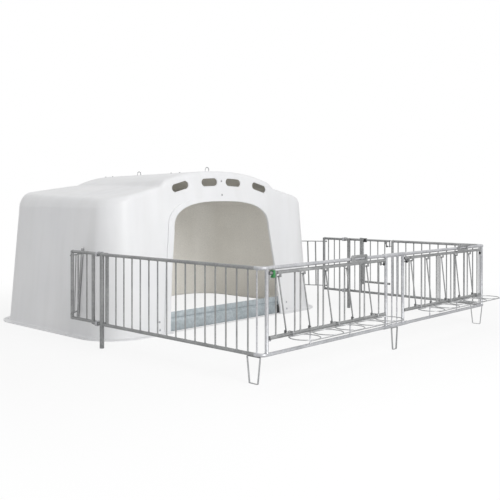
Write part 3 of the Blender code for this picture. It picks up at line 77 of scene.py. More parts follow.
# Camera and studio
cameraSettings = {"place": (-6.787, -4.249, 1.615), "turn": -46.87, "lens": 53.07, "sensor": 36.0,
                  "drop": -0.1045}
studio = {
    "floorSize": 90.0, "floorColor": (0.93, 0.93, 0.93), "fade": (3.0, 6.5), "floorWhite": 0.8,
    "skyLight": 0.59, "sky": (1.0, 1.0, 1.0),
    "keyPlace": (-2.6, -9.2, 4.3), "keyAim": (0.0, 0.0, 0.8), "keySize": 4.0, "keyWatts": 430.0,
    "topPlace": (0.0, 1.0, 7.5), "topAim": (0.0, 1.0, 0.0), "topSize": 6.0, "topWatts": 60.0,
    "insidePlace": (0.1, 0.50, 0.30), "insideAim": (0.1, 2.40, 0.85), "insideSize": 1.2,
    "insideWatts": 18.0,
}


def makeCamera():
    bpy.ops.object.camera_add(location=spot(*cameraSettings["place"]),
                              rotation=(math.pi / 2, 0, math.radians(cameraSettings["turn"])))
    camera = bpy.context.object
    camera.name = "photoCamera"
    camera.data.lens = cameraSettings["lens"]
    camera.data.sensor_width = cameraSettings["sensor"]
    camera.data.shift_y = cameraSettings["drop"]
    scene.camera = camera


def lampAt(name, place, aim, size, watts):
    bpy.ops.object.light_add(type="AREA", location=place)
    lamp = bpy.context.object
    lamp.name = name
    lamp.visible_camera = False
    lamp.data.shape = "DISK"
    lamp.data.size = size
    lamp.data.energy = watts
    lamp.rotation_euler = (Vector(aim) - Vector(place)).to_track_quat("-Z", "Y").to_euler()


def makeStudio():
    world = bpy.data.worlds.new("paleStudio")
    scene.world = world
    world.use_nodes = True
    nodes, links = world.node_tree.nodes, world.node_tree.links
    nodes.clear()
    out = nodes.new("ShaderNodeOutputWorld")
    lightSide, seenSide = nodes.new("ShaderNodeBackground"), nodes.new("ShaderNodeBackground")
    lightSide.inputs["Color"].default_value = (*studio["sky"], 1)
    lightSide.inputs["Strength"].default_value = studio["skyLight"]
    seenSide.inputs["Color"].default_value = (1, 1, 1, 1)
    seenSide.inputs["Strength"].default_value = 1.0
    path = nodes.new("ShaderNodeLightPath")
    glossy, seen = nodes.new("ShaderNodeMath"), nodes.new("ShaderNodeMath")
    glossy.operation = seen.operation = "MAXIMUM"
    links.new(path.outputs["Is Camera Ray"], glossy.inputs[0])
    links.new(path.outputs["Is Glossy Ray"], glossy.inputs[1])
    links.new(glossy.outputs[0], seen.inputs[0])
    links.new(path.outputs["Is Transmission Ray"], seen.inputs[1])
    mix = nodes.new("ShaderNodeMixShader")
    links.new(seen.outputs[0], mix.inputs["Fac"])
    links.new(lightSide.outputs[0], mix.inputs[1])
    links.new(seenSide.outputs[0], mix.inputs[2])
    links.new(mix.outputs[0], out.inputs["Surface"])

    deselect()
    bpy.ops.mesh.primitive_plane_add(size=studio["floorSize"], location=(0, 0, 0))
    floor = bpy.context.object
    floor.name = "studioFloor"
    floor.data.materials.append(floorFinish())
    # The inside lamp stands in for the light that the pale floor sends in through the door.
    for lamp in ("key", "top", "inside"):
        lampAt(f"{lamp}Lamp", *[studio[lamp + value] for value in ("Place", "Aim", "Size", "Watts")])


# Pale and matt near the object, so that it keeps the shadow, and plain white further out.
def floorFinish():
    material = bpy.data.materials.new("studioFloor")
    material.use_nodes = True
    nodes, links = material.node_tree.nodes, material.node_tree.links
    shader = nodes["Principled BSDF"]
    shader.inputs["Base Color"].default_value = (*studio["floorColor"], 1)
    shader.inputs["Roughness"].default_value = 0.9
    shader.inputs["Specular IOR Level"].default_value = 0.1
    place = nodes.new("ShaderNodeTexCoord")
    length = nodes.new("ShaderNodeVectorMath")
    length.operation = "LENGTH"
    links.new(place.outputs["Object"], length.inputs[0])
    fade = nodes.new("ShaderNodeMapRange")
    fade.interpolation_type = "SMOOTHSTEP"
    fade.inputs["From Min"].default_value, fade.inputs["From Max"].default_value = studio["fade"]
    fade.inputs["To Min"].default_value = studio["floorWhite"]
    links.new(length.outputs["Value"], fade.inputs["Value"])
    path = nodes.new("ShaderNodeLightPath")
    seen = nodes.new("ShaderNodeMath")
    seen.operation = "MULTIPLY"
    links.new(fade.outputs["Result"], seen.inputs[0])
    links.new(path.outputs["Is Camera Ray"], seen.inputs[1])
    plain = nodes.new("ShaderNodeEmission")
    mix = nodes.new("ShaderNodeMixShader")
    links.new(seen.outputs[0], mix.inputs["Fac"])
    links.new(shader.outputs[0], mix.inputs[1])
    links.new(plain.outputs[0], mix.inputs[2])
    links.new(mix.outputs[0], nodes["Material Output"].inputs["Surface"])
    return material


# Steps done as in Blender's own window
def deselect():
    if bpy.context.object and bpy.context.object.mode != "OBJECT":
        bpy.ops.object.mode_set(mode="OBJECT")
    bpy.ops.object.select_all(action="DESELECT")


def pick(*parts):
    deselect()
    for part in parts:
        part.select_set(True)
    bpy.context.view_layer.objects.active = parts[0]


def joinUp(*parts):
    pick(*parts)
    if len(parts) > 1:
        bpy.ops.object.join()
    return bpy.context.object


def settle(part):
    pick(part)
    bpy.ops.object.transform_apply(location=True, rotation=True, scale=True)
    return part


def tidyMesh(part, gap=0.00002):
    pick(part)
    bpy.ops.object.mode_set(mode="EDIT")
    bpy.ops.mesh.select_all(action="SELECT")
    bpy.ops.mesh.remove_doubles(threshold=gap)
    bpy.ops.mesh.normals_make_consistent(inside=False)
    bpy.ops.object.mode_set(mode="OBJECT")
    return part


# Copies of a form at each of these moves; the form itself goes.
def copiesOf(template, moves):
    made = []
    for move in moves:
        part = bpy.data.objects.new(template.name, template.data.copy())
        scene.collection.objects.link(part)
        part.data.transform(Matrix.Translation(move))
        made.append(part)
    bpy.data.objects.remove(template)
    return made


def applyAll(part):
    pick(part)
    for modifier in list(part.modifiers):
        bpy.ops.object.modifier_apply(modifier=modifier.name)
    return part


def withBoolean(part, tool, how):
    step = part.modifiers.new(how.lower(), "BOOLEAN")
    step.operation = how
    step.solver = "EXACT"
    step.object = tool
    applyAll(part)
    bpy.data.objects.remove(tool, do_unlink=True)
    return part


def withBevel(part, width, steps=2, angle=40):
    edge = part.modifiers.new("edge", "BEVEL")
    edge.width = width
    edge.segments = steps
    edge.limit_method = "ANGLE"
    edge.angle_limit = math.radians(angle)
    edge.use_clamp_overlap = True
    return applyAll(part)


# A round form from (height, radius) pairs, extruded ring by ring.
def turned(profile, sides=18):
    low, wide = profile[0]
    deselect()
    bpy.ops.mesh.primitive_circle_add(vertices=sides, radius=wide, fill_type="NGON", location=(0, 0, low))
    part = settle(bpy.context.object)
    bpy.ops.object.mode_set(mode="EDIT")
    bpy.ops.mesh.select_all(action="SELECT")
    for (z0, r0), (z1, r1) in zip(profile, profile[1:]):
        bpy.ops.mesh.extrude_region_move(TRANSFORM_OT_translate={"value": (0, 0, z1 - z0)})
        if r1 != r0:
            bpy.ops.transform.resize(value=(r1 / r0, r1 / r0, 1), center_override=(0, 0, z1))
    bpy.ops.mesh.select_all(action="SELECT")
    bpy.ops.mesh.normals_make_consistent(inside=False)
    bpy.ops.object.mode_set(mode="OBJECT")
    return part


# Stands a form made along Z on the line from start towards end.
def laid(part, start, end):
    start, end = Vector(start), Vector(end)
    part.data.transform(Matrix.Translation(start)
                        @ (end - start).to_track_quat("Z", "Y").to_matrix().to_4x4())
    return part


# A straight bore of this radius, cut from start towards aim.
def bored(part, radius, start, aim, deep=0.06, sides=20):
    return withBoolean(part, laid(turned([(0, radius), (deep, radius)], sides), start, aim), "DIFFERENCE")


# Angles in even steps from one to the other, both included.
def turns(first, last, steps):
    return [math.radians(first + (last - first) * k / steps) for k in range(steps + 1)]


# Small turned forms as (height, radius) pairs, each with its number of sides
smallForms = {
    "eyeCollar": ([(0, 0.0145), (0.0015, 0.0145), (0.0016, 0.0110), (0.007, 0.0110), (0.0074, 0.0102)], 24),
    "eyeNut": ([(0, 0.0105), (0.0075, 0.0105)], 6),
    "rodNut": ([(0, 0.0090), (0.0006, 0.0106), (0.0105, 0.0106), (0.0118, 0.0088), (0.012, 0.004)], 6),
    "rodWasher": ([(0, 0.0125), (0.0016, 0.0125)], 20),
    "clampScrew": ([(0, 0.0062), (0.0004, 0.0068), (0.0042, 0.0068), (0.0050, 0.0058), (0.0051, 0.002)], 6),
    "ringBead": ([(-0.004, 0.002), (-0.003, 0.0042), (0, 0.0056), (0.003, 0.0042), (0.004, 0.002)], 12),
    "railPlug": ([(-0.015, 0.0078), (-0.0142, 0.0084), (0.0003, 0.0084), (0.0004, 0.0139), (0.0035, 0.0139),
                  (0.0052, 0.0125), (0.006, 0.008)], 24),
}


def smallForm(name, start, aim):
    profile, sides = smallForms[name]
    return laid(turned(profile, sides), start, aim)


weld = {"proud": 0.0032, "long": 0.0065}


# Heights and radii of a bar whose ends are welded to rails of these radii.
def barProfile(long, radius, meetsLow=0.0, meetsHigh=0.0):
    rim = min(0.0012, radius * 0.3)
    if meetsLow:
        low = [(0, radius), (meetsLow - 0.003, radius), (meetsLow - 0.0029, radius + weld["proud"]),
               (meetsLow + 0.0015, radius + weld["proud"] * 0.75), (meetsLow + weld["long"], radius)]
    else:
        low = [(0, radius - rim), (rim * 0.3, radius - rim * 0.3), (rim, radius)]
    if meetsHigh:
        high = [(long - h, r) for h, r in ((meetsHigh + weld["long"], radius),
                                           (meetsHigh + 0.0015, radius + weld["proud"] * 0.75),
                                           (meetsHigh - 0.0029, radius + weld["proud"]),
                                           (meetsHigh - 0.003, radius), (0, radius))]
    else:
        high = [(long - rim, radius), (long - rim * 0.3, radius - rim * 0.3), (long, radius - rim)]
    return low + high


def bar(start, end, radius, meetsLow=0.0, meetsHigh=0.0, sides=18):
    start, end = Vector(start), Vector(end)
    return laid(turned(barProfile((end - start).length, radius, meetsLow, meetsHigh), sides), start, end)


# A bar whose two ends show an open bore.
def tube(start, end, radius, wall=0.0025, sides=24, deep=0.03):
    start, end = Vector(start), Vector(end)
    long = (end - start).length
    bore = radius - wall
    profile = [(deep, bore * 0.98), (deep - 0.0005, bore), (0, bore), (0.0001, radius - 0.0005),
               (0.0006, radius), (long - 0.0006, radius),
               (long - 0.0001, radius - 0.0005), (long, bore), (long - deep + 0.0005, bore),
               (long - deep, bore * 0.98)]
    return laid(turned(profile, sides), start, end)


# A plate or block with softened edges.
def block(low, high, soft=0.0012, steps=2):
    low, high = Vector(low), Vector(high)
    deselect()
    bpy.ops.mesh.primitive_cube_add(size=1, location=(low + high) / 2)
    part = bpy.context.object
    part.scale = high - low
    settle(part)
    bpy.ops.object.mode_set(mode="EDIT")
    bpy.ops.mesh.select_all(action="SELECT")
    bpy.ops.mesh.bevel(offset=soft, segments=steps, affect="EDGES")
    bpy.ops.object.mode_set(mode="OBJECT")
    return part


# The line with its corners turned into bends that start this far from each corner.
def rounded(points, bend, steps=7):
    points = [Vector(p) for p in points]
    made = [points[0]]
    for before, corner, after in zip(points, points[1:], points[2:]):
        first = corner + (before - corner).normalized() * bend
        last = corner + (after - corner).normalized() * bend
        made += [first * (1 - t) ** 2 + corner * 2 * t * (1 - t) + last * t * t
                 for t in [k / steps for k in range(steps + 1)]]
    return made + [points[-1]]


def curveLine(points, closed=False):
    data = bpy.data.curves.new("line", "CURVE")
    data.dimensions = "3D"
    line = data.splines.new("POLY")
    line.points.add(len(points) - 1)
    for point, place in zip(line.points, points):
        point.co = (*place, 1.0)
    line.use_cyclic_u = closed
    part = bpy.data.objects.new("line", data)
    scene.collection.objects.link(part)
    return part


def toMesh(part):
    pick(part)
    bpy.ops.object.convert(target="MESH")
    return tidyMesh(bpy.context.object)


def bentRod(points, radius, bend=0.0, closed=False, fine=4):
    part = curveLine(rounded(points, bend) if bend else points, closed)
    part.data.bevel_depth = radius
    part.data.bevel_resolution = fine
    part.data.use_fill_caps = True
    return toMesh(part)


# Flat outlines in X and Y as a plate; an outline inside another is a hole.
def flatShape(outlines, thick, place=None):
    data = bpy.data.curves.new("plate", "CURVE")
    data.dimensions = "2D"
    data.fill_mode = "BOTH"
    data.extrude = thick / 2
    for outline in outlines:
        line = data.splines.new("POLY")
        line.points.add(len(outline) - 1)
        for point, (x, y) in zip(line.points, outline):
            point.co = (x, y, 0.0, 1.0)
        line.use_cyclic_u = True
    part = bpy.data.objects.new("plate", data)
    scene.collection.objects.link(part)
    part = toMesh(part)
    if place:
        part.data.transform(place)
    return part


# A bent strip: the line is pulled across, thickened and its edges softened.
def ribbon(points, across, thick, bend, soft=0.0008):
    line = rounded(points, bend) if bend else [Vector(p) for p in points]
    part = curveLine(line)
    pick(part)
    bpy.ops.object.convert(target="MESH")
    part = bpy.context.object
    part.data.transform(Matrix.Translation(-Vector(across) / 2))
    bpy.ops.object.mode_set(mode="EDIT")
    bpy.ops.mesh.select_all(action="SELECT")
    bpy.ops.mesh.extrude_region_move(TRANSFORM_OT_translate={"value": tuple(across)})
    bpy.ops.object.mode_set(mode="OBJECT")
    skin = part.modifiers.new("thick", "SOLIDIFY")
    skin.thickness = thick
    skin.offset = 0
    skin.use_even_offset = True
    applyAll(part)
    return withBevel(tidyMesh(part), soft, 2, 50)


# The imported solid's own form with its edges rounded.
def softened(node, width=0.0015, steps=2):
    part = bpy.data.objects.new(node, frame["nodes"][node].data.copy())
    scene.collection.objects.link(part)
    part.data.materials.clear()
    pick(part)
    bpy.ops.mesh.customdata_custom_splitnormals_clear()
    bpy.ops.object.mode_set(mode="EDIT")
    bpy.ops.mesh.select_all(action="SELECT")
    bpy.ops.mesh.remove_doubles(threshold=0.00002)
    bpy.ops.mesh.dissolve_limited(angle_limit=math.radians(1.0))
    bpy.ops.object.mode_set(mode="OBJECT")
    return withBevel(part, width, steps)


# Joins the parts and puts the piece in its node's place, on the node's body.
def finishPiece(node, parts, angle=35, keepsFinish=False):
    piece = tidyMesh(joinUp(*parts), 0.000001) if len(parts) > 1 else parts[0]
    first, *words = node.split("_")
    piece.name = piece.data.name = first + "".join(word.title() for word in words)
    slotName = slotOfNode[node]
    if not keepsFinish:
        piece.data.materials.clear()
        piece.data.materials.append(finishes[slotName])
        for face in piece.data.polygons:
            face.material_index = 0
    pick(piece)
    bpy.ops.object.shade_smooth_by_angle(angle=math.radians(angle))
    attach(piece, frame["nodes"][node]["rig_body"])
    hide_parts(node)
    return piece


# Finishes
def newFinish(name):
    material = bpy.data.materials.new(name)
    material.use_nodes = True
    nodes = material.node_tree.nodes
    place = nodes.new("ShaderNodeTexCoord")
    return material, nodes, material.node_tree.links, nodes["Principled BSDF"], place.outputs["Object"]


def noiseOn(nodes, links, place, scale, detail=3.0, stretch=(1, 1, 1), rough=0.5):
    spread = nodes.new("ShaderNodeMapping")
    spread.inputs["Scale"].default_value = stretch
    links.new(place, spread.inputs["Vector"])
    noise = nodes.new("ShaderNodeTexNoise")
    noise.inputs["Scale"].default_value = scale
    noise.inputs["Detail"].default_value = detail
    noise.inputs["Roughness"].default_value = rough
    links.new(spread.outputs[0], noise.inputs["Vector"])
    return noise.outputs["Fac"]


def rampOn(nodes, links, value, stops):
    ramp = nodes.new("ShaderNodeValToRGB")
    for stop, (at, color) in zip(ramp.color_ramp.elements, (stops[0], stops[-1])):
        stop.position, stop.color = at, (*color, 1)
    for at, color in stops[1:-1]:
        ramp.color_ramp.elements.new(at).color = (*color, 1)
    links.new(value, ramp.inputs["Fac"])
    return ramp.outputs["Color"]


def spanOn(nodes, links, value, low, high):
    span = nodes.new("ShaderNodeMapRange")
    span.inputs["To Min"].default_value = low
    span.inputs["To Max"].default_value = high
    links.new(value, span.inputs["Value"])
    return span.outputs["Result"]


def mixOn(nodes, links, share, first, second, how="MIX"):
    mix = nodes.new("ShaderNodeMix")
    mix.data_type = "RGBA"
    mix.blend_type = how
    for name, value in (("Factor", share), ("A", first), ("B", second)):
        socket = [s for s in mix.inputs if s.name == name
                  and (s.type == "RGBA" or (name == "Factor" and s.type == "VALUE"))][0]
        if hasattr(value, "links"):
            links.new(value, socket)
        else:
            socket.default_value = value
    return [s for s in mix.outputs if s.type == "RGBA"][0]


def bumpOn(nodes, links, value, shader, strength, distance):
    bump = nodes.new("ShaderNodeBump")
    bump.inputs["Strength"].default_value = strength
    bump.inputs["Distance"].default_value = distance
    links.new(value, bump.inputs["Height"])
    links.new(bump.outputs["Normal"], shader.inputs["Normal"])


def mouldedWhite():
    material, nodes, links, shader, place = newFinish("mouldedWhite")
    cloud = noiseOn(nodes, links, place, 1.3, 4.0)
    colour = rampOn(nodes, links, cloud, [(0.3, (0.800, 0.805, 0.820)), (0.7, (0.850, 0.852, 0.862))])
    streak = noiseOn(nodes, links, place, 5.0, 3.0, (1, 1, 0.12))
    faded = rampOn(nodes, links, streak, [(0.35, (0.965, 0.965, 0.96)), (0.6, (1, 1, 1))])
    links.new(mixOn(nodes, links, 1.0, colour, faded, "MULTIPLY"), shader.inputs["Base Color"])
    links.new(spanOn(nodes, links, noiseOn(nodes, links, place, 9.0), 0.34, 0.5),
              shader.inputs["Roughness"])
    grain = noiseOn(nodes, links, place, 220.0, 2.0)
    bumpOn(nodes, links, grain, shader, 0.12, 0.0006)
    return material


# Heights over which the inside skin's colour darkens with painted shade, and the tone it reaches.
layup = {"dusk": (1.45, 1.72), "duskTone": (0.36, 0.355, 0.335)}


# The fibre lay-up; its top under the roof is darkened with painted shade, so that the vents look as dark as
# they do. The fibre lay-up; its darker top under the roof is a guess, so that the vents look as dark as
# they do.
def layupInside():
    material, nodes, links, shader, place = newFinish("layupInside")
    cloud = noiseOn(nodes, links, place, 2.2, 5.0)
    colour = rampOn(nodes, links, cloud, [(0.3, (0.770, 0.752, 0.715)), (0.7, (0.825, 0.807, 0.770))])
    mat = noiseOn(nodes, links, place, 70.0, 4.0, (1, 1, 1), 0.7)
    fibre = rampOn(nodes, links, mat, [(0.35, (0.90, 0.90, 0.89)), (0.65, (1.04, 1.04, 1.03))])
    skin = mixOn(nodes, links, 1.0, colour, fibre, "MULTIPLY")
    # Painted shade: between the two heights the colour darkens towards the top, standing in for the shade
    # under the roof.
    split = nodes.new("ShaderNodeSeparateXYZ")
    links.new(place, split.inputs[0])
    height = nodes.new("ShaderNodeMapRange")
    height.interpolation_type = "SMOOTHSTEP"
    height.inputs["From Min"].default_value, height.inputs["From Max"].default_value = layup["dusk"]
    links.new(split.outputs["Z"], height.inputs["Value"])
    paintedShade = rampOn(nodes, links, height.outputs["Result"], [(0.0, (1, 1, 1)), (1.0, layup["duskTone"])])
    links.new(mixOn(nodes, links, 1.0, skin, paintedShade, "MULTIPLY"), shader.inputs["Base Color"])
    shader.inputs["Roughness"].default_value = 0.62
    bumpOn(nodes, links, mat, shader, 0.35, 0.0012)
    return material


# Hot-dip zinc: spangle, a cloudy bloom and a slightly uneven skin.
def zincSkin(name, dark, pale, metal, rough, spangle=70.0):
    material, nodes, links, shader, place = newFinish(name)
    cells = nodes.new("ShaderNodeTexVoronoi")
    cells.inputs["Scale"].default_value = spangle
    cells.inputs["Randomness"].default_value = 1.0
    links.new(place, cells.inputs["Vector"])
    grey = nodes.new("ShaderNodeRGBToBW")
    links.new(cells.outputs["Color"], grey.inputs["Color"])
    flakes = rampOn(nodes, links, grey.outputs["Val"],
                    [(0.2, (0.90, 0.90, 0.91)), (0.8, (1.08, 1.08, 1.08))])
    cloud = noiseOn(nodes, links, place, 6.0, 5.0)
    colour = rampOn(nodes, links, cloud, [(0.32, dark), (0.68, pale)])
    links.new(mixOn(nodes, links, 1.0, colour, flakes, "MULTIPLY"), shader.inputs["Base Color"])
    shader.inputs["Metallic"].default_value = metal
    bloom = noiseOn(nodes, links, place, 28.0, 4.0)
    links.new(spanOn(nodes, links, bloom, rough - 0.08, rough + 0.12), shader.inputs["Roughness"])
    bumpOn(nodes, links, bloom, shader, 0.18, 0.0006)
    return material


def plasticSkin(name, dark, pale, rough):
    material, nodes, links, shader, place = newFinish(name)
    cloud = noiseOn(nodes, links, place, 30.0, 3.0)
    links.new(rampOn(nodes, links, cloud, [(0.3, dark), (0.7, pale)]), shader.inputs["Base Color"])
    links.new(spanOn(nodes, links, noiseOn(nodes, links, place, 60.0), rough - 0.06, rough + 0.1),
              shader.inputs["Roughness"])
    bumpOn(nodes, links, noiseOn(nodes, links, place, 900.0, 2.0), shader, 0.25, 0.0003)
    return material


finishes = {
    "shell": mouldedWhite(),
    "board": zincSkin("boardZinc", (0.40, 0.45, 0.47), (0.50, 0.55, 0.575), 0.55, 0.45, 45.0),
    "galvanised": zincSkin("fenceZinc", (0.26, 0.265, 0.265), (0.34, 0.345, 0.345), 0.75, 0.45),
    "bright_zinc": zincSkin("frontZinc", (0.42, 0.425, 0.44), (0.54, 0.545, 0.56), 0.75, 0.38),
    "steel": zincSkin("rodSteel", (0.36, 0.365, 0.37), (0.46, 0.465, 0.47), 0.8, 0.36, 120.0),
    "black_plastic": plasticSkin("blackPlastic", (0.012, 0.012, 0.013), (0.028, 0.028, 0.03), 0.5),
    "green_plastic": plasticSkin("greenPlastic", (0.02, 0.16, 0.045), (0.035, 0.22, 0.06), 0.42),
}
insideFinish = layupInside()
makeCamera()
makeStudio()
print("camera, studio and finishes are ready")

# Hutch shell
hutch = {
    "front": 2.478, "depth": 2.490, "half": 1.893, "corner": 0.441, "lean": 0.0794, "skin": 0.009,
    "flange": 0.083, "frontEdge": 0.060, "shoulder": 1.500, "bulge": 0.2, "pull": 0.6,
    "footBend": ((0.026, 0.0), (0.017, 0.0012), (0.009, 0.0045), (0.003, 0.011), (0.0, 0.019)),
    "footTop": 0.032,
    "wallShares": (0.12, 0.24, 0.36, 0.48, 0.60, 0.72, 0.84, 0.93, 0.988),
    "edgeShares": (0.0, 0.04, 0.11, 0.21, 0.32, 0.43, 0.54, 0.66, 0.78, 0.89),
    "archShare": 0.93, "archPower": 2.4, "stepAt": 0.90, "stepWide": 0.12,
    "crown": 1.965, "crownFall": 0.035, "stepFront": 1.05, "stepBack": 0.80, "stepTop": 0.140,
    "lowFront": 1.750, "lowBack": 1.790, "fallFront": 0.235, "fallBack": 0.130, "cornerSteps": 9,
    "sideRows": 14,
    "rib": ((1.28, 0.015), (1.28, 0.23), (1.35, 0.23), (1.35, 0.015)), "ribRod": 0.009, "ribBend": 0.016,
    "ribFrom": 0.7,
}
doorway = {
    "half": 1.010, "middle": 0.944, "middleZ": 0.70, "shoulder": 0.870, "shoulderZ": 1.200, "top": 1.572,
    "square": 2.75,
    "lipWide": 0.085, "lipTop": 0.055, "lipProud": 0.018, "lipIn": 0.004, "lipSoft": 0.0145, "steps": 22,
    "sunk": 0.003, "cut": 0.6,
}
vents = {"long": 0.280, "high": 0.100, "places": ((0.217, 1.815, 3.0), (0.720, 1.755, 14.0)), "rim": 0.009,
         "proud": 0.0035, "soft": 0.0022,
         "cut": 0.2}
hutchBack = hutch["front"] + hutch["depth"]
wallPlace = Matrix.Translation(spot(0, hutch["front"],
                                    0)) @ Matrix.Rotation(math.pi / 2 - math.atan(hutch["lean"]), 4, "X")


def upWall(z):
    return z * math.sqrt(1 + hutch["lean"] ** 2)


def onWall(x, z, out=0.0):
    return wallPlace @ Vector((x, upWall(z), out))


def eased(t):
    t = min(max(t, 0.0), 1.0)
    return t * t * (3 - 2 * t)


def roofHeight(x, y):
    back = min(max((y - hutch["front"]) / hutch["depth"], 0.0), 1.0)
    step = hutch["stepFront"] + (hutch["stepBack"] - hutch["stepFront"]) * back
    low = hutch["lowFront"] + (hutch["lowBack"] - hutch["lowFront"]) * back
    fall = hutch["fallFront"] + (hutch["fallBack"] - hutch["fallFront"]) * back
    share = abs(x) / step
    fallen = (min(share, 1.0) / hutch["archShare"]) ** hutch["archPower"]
    arch = hutch["crown"] - hutch["crownFall"] * back - hutch["stepTop"] * fallen
    return arch + (low - fall * (abs(x) - step)
                   - arch) * eased((share - hutch["stepAt"]) / hutch["stepWide"])


# The walls' line on the ground as (point, inward direction), front, right, back and left in turn.
def groundLine():
    straight = hutch["half"] - hutch["corner"]
    shares = [0.08 * k for k in range(1, 11)] + [0.85, 0.88, 0.90, 0.92, 0.94, 0.96, 0.98, 1.0, 1.02]

    def columns(step):
        inner = [s * step for s in shares]
        left = straight - inner[-1]
        return inner + [inner[-1] + left * k / 7 for k in range(1, 8)]

    half, halfBack = columns(hutch["stepFront"]), columns(hutch["stepBack"])
    angles = [45.0 * k / hutch["cornerSteps"] for k in range(1, hutch["cornerSteps"] + 1)]
    near, far = hutch["front"] + hutch["corner"], hutchBack - hutch["corner"]

    def bend(cx, cy, degrees):
        way = Vector((math.cos(math.radians(degrees)), math.sin(math.radians(degrees))))
        return Vector((cx, cy)) + hutch["corner"] * way, -way

    front = [bend(-straight, near, 270 - a) for a in reversed(angles)]
    front += [(Vector((x, hutch["front"])), Vector((0, 1)))
              for x in [-h for h in reversed(half)] + [0] + half]
    front += [bend(straight, near, 270 + a) for a in angles]
    back = [bend(straight, far, 90 - a) for a in reversed(angles)]
    back += [(Vector((x, hutchBack)), Vector((0, -1)))
             for x in list(reversed(halfBack)) + [0] + [-h for h in halfBack]]
    back += [bend(-straight, far, 90 + a) for a in angles]
    right = [bend(straight, near, 315 + a) for a in angles[:-1]]
    right += [(Vector((hutch["half"], near + (far - near) * k / hutch["sideRows"])), Vector((-1, 0)))
              for k in range(hutch["sideRows"] + 1)]
    right += [bend(straight, far, a) for a in angles[:-1]]
    left = [(Vector((-p.x, p.y)), Vector((-n.x, n.y))) for p, n in reversed(right)]
    return front, right, back, left


# The outer skin: foot flange, leaning walls, rounded roof edge and the roof between.
def shellSkin():
    front, right, back, left = groundLine()
    loop = front + right + back + left
    lean, foot = hutch["lean"], hutch["skin"]
    lowRings = [(hutch["flange"], foot), (hutch["flange"] * 0.6, foot)]
    lowRings += [(out, foot + up) for out, up in hutch["footBend"]]
    lowRings.append((-lean * (foot + hutch["footTop"]), foot + hutch["footTop"]))
    rings = [[(*(p - n * out), z) for p, n in loop] for out, z in lowRings]
    tops = []
    for p, n in loop:
        top = hutch["crown"] - 0.2
        for _ in range(5):
            place = p + n * lean * top
            top = roofHeight(place.x, place.y)
        facing = n.y * n.y  # 1 at the front and back, 0 at the sides
        edge = hutch["frontEdge"] * facing + (top - hutch["shoulder"]) * (1 - facing)
        tops.append((p, n, edge, top, p + n * (lean * top + edge)))
    for share in hutch["wallShares"]:
        rings.append([(*(p + n * lean * share * (c - e)), share * (c - e)) for p, n, e, c, i in tops])
    for t in hutch["edgeShares"]:
        ring = []
        for p, n, e, c, i in tops:
            low = Vector((*(p + n * lean * (c - e)), c - e))
            peak = Vector((*(p + n * lean * c), c))
            high = Vector((*i, roofHeight(i.x, i.y)))
            bulge = Vector((*n, 0)) * e * hutch["bulge"] * (1 - n.y * n.y)
            up, over = low.lerp(peak, hutch["pull"]) + bulge, high.lerp(peak, hutch["pull"])
            ring.append(tuple(low * (1 - t) ** 3 + up * 3 * t * (1 - t) ** 2 + over * 3 * t * t * (1 - t)
                              + high * t ** 3))
        rings.append(ring)
    innerLoop = [top[-1] for top in tops]
    bm = bmesh.new()
    made = [[bm.verts.new(v) for v in ring] for ring in rings]
    columns, rows = len(front), len(right) + 2
    south = innerLoop[:columns]
    east = [south[-1]] + innerLoop[columns:columns + len(right)]
    north = list(reversed(innerLoop[columns + len(right):2 * columns + len(right)]))
    east.append(north[-1])
    west = [south[0]] + list(reversed(innerLoop[2 * columns + len(right):])) + [north[0]]
    grid = []
    for j in range(rows):
        v = (west[j].y - west[0].y) / (west[-1].y - west[0].y)
        line = []
        for i in range(columns):
            u = (south[i].x - south[0].x) / (south[-1].x - south[0].x)
            p = (south[i] * (1 - v) + north[i] * v + west[j] * (1 - u) + east[j] * u
                 - south[0] * (1 - u) * (1 - v)
                 - south[-1] * u * (1 - v) - north[0] * (1 - u) * v - north[-1] * u * v)
            line.append(bm.verts.new((p.x, p.y, roofHeight(p.x, p.y))))
        grid.append(line)
    border = grid[0] + [grid[j][-1] for j in range(1, rows - 1)] + list(reversed(grid[-1]))
    made.append(border + [grid[j][0] for j in range(rows - 2, 0, -1)])
    count = len(loop)
    for low, high in zip(made, made[1:]):
        for k in range(count):
            bm.faces.new((low[k], low[(k + 1) % count], high[(k + 1) % count], high[k]))
    for j in range(rows - 1):
        for i in range(columns - 1):
            bm.faces.new((grid[j][i], grid[j][i + 1], grid[j + 1][i + 1], grid[j + 1][i]))
    bmesh.ops.recalc_face_normals(bm, faces=bm.faces)
    data = bpy.data.meshes.new("shellSkin")
    bm.to_mesh(data)
    bm.free()
    data.transform(Matrix.Translation((0, fenceY, 0)))
    part = bpy.data.objects.new("shellSkin", data)
    scene.collection.objects.link(part)
    return part


def doorOutline(grow=0.0, foot=-0.05):
    points = [(doorway["half"] + grow, foot), (doorway["half"] + grow, upWall(0.05)),
              (doorway["middle"] + grow, upWall(doorway["middleZ"]))]
    wide = doorway["shoulder"] + grow
    tall = upWall(doorway["top"] - doorway["shoulderZ"]) + grow * doorway["lipTop"] / doorway["lipWide"]
    for k in range(doorway["steps"] + 1):
        turn = math.pi / 2 * k / doorway["steps"]
        points.append((wide * math.cos(turn) ** (2 / doorway["square"]),
                       upWall(doorway["shoulderZ"]) + tall * math.sin(turn) ** (2 / doorway["square"])))
    return points + [(-x, y) for x, y in reversed(points[:-1])]


def slotOutline(side, x, z, tilt, grow=0.0, steps=12):
    long, high = vents["long"] + 2 * grow, vents["high"] + 2 * grow
    turn = Matrix.Rotation(math.radians(-side * tilt), 2)
    ends = [(s * (long - high) / 2 + high / 2 * math.cos(a), high / 2 * math.sin(a))
            for s, start in ((1, -90), (-1, 90)) for a in turns(start, start + 180, steps)]
    return [tuple(Vector((side * x, upWall(z))) + turn @ Vector(p)) for p in ends]


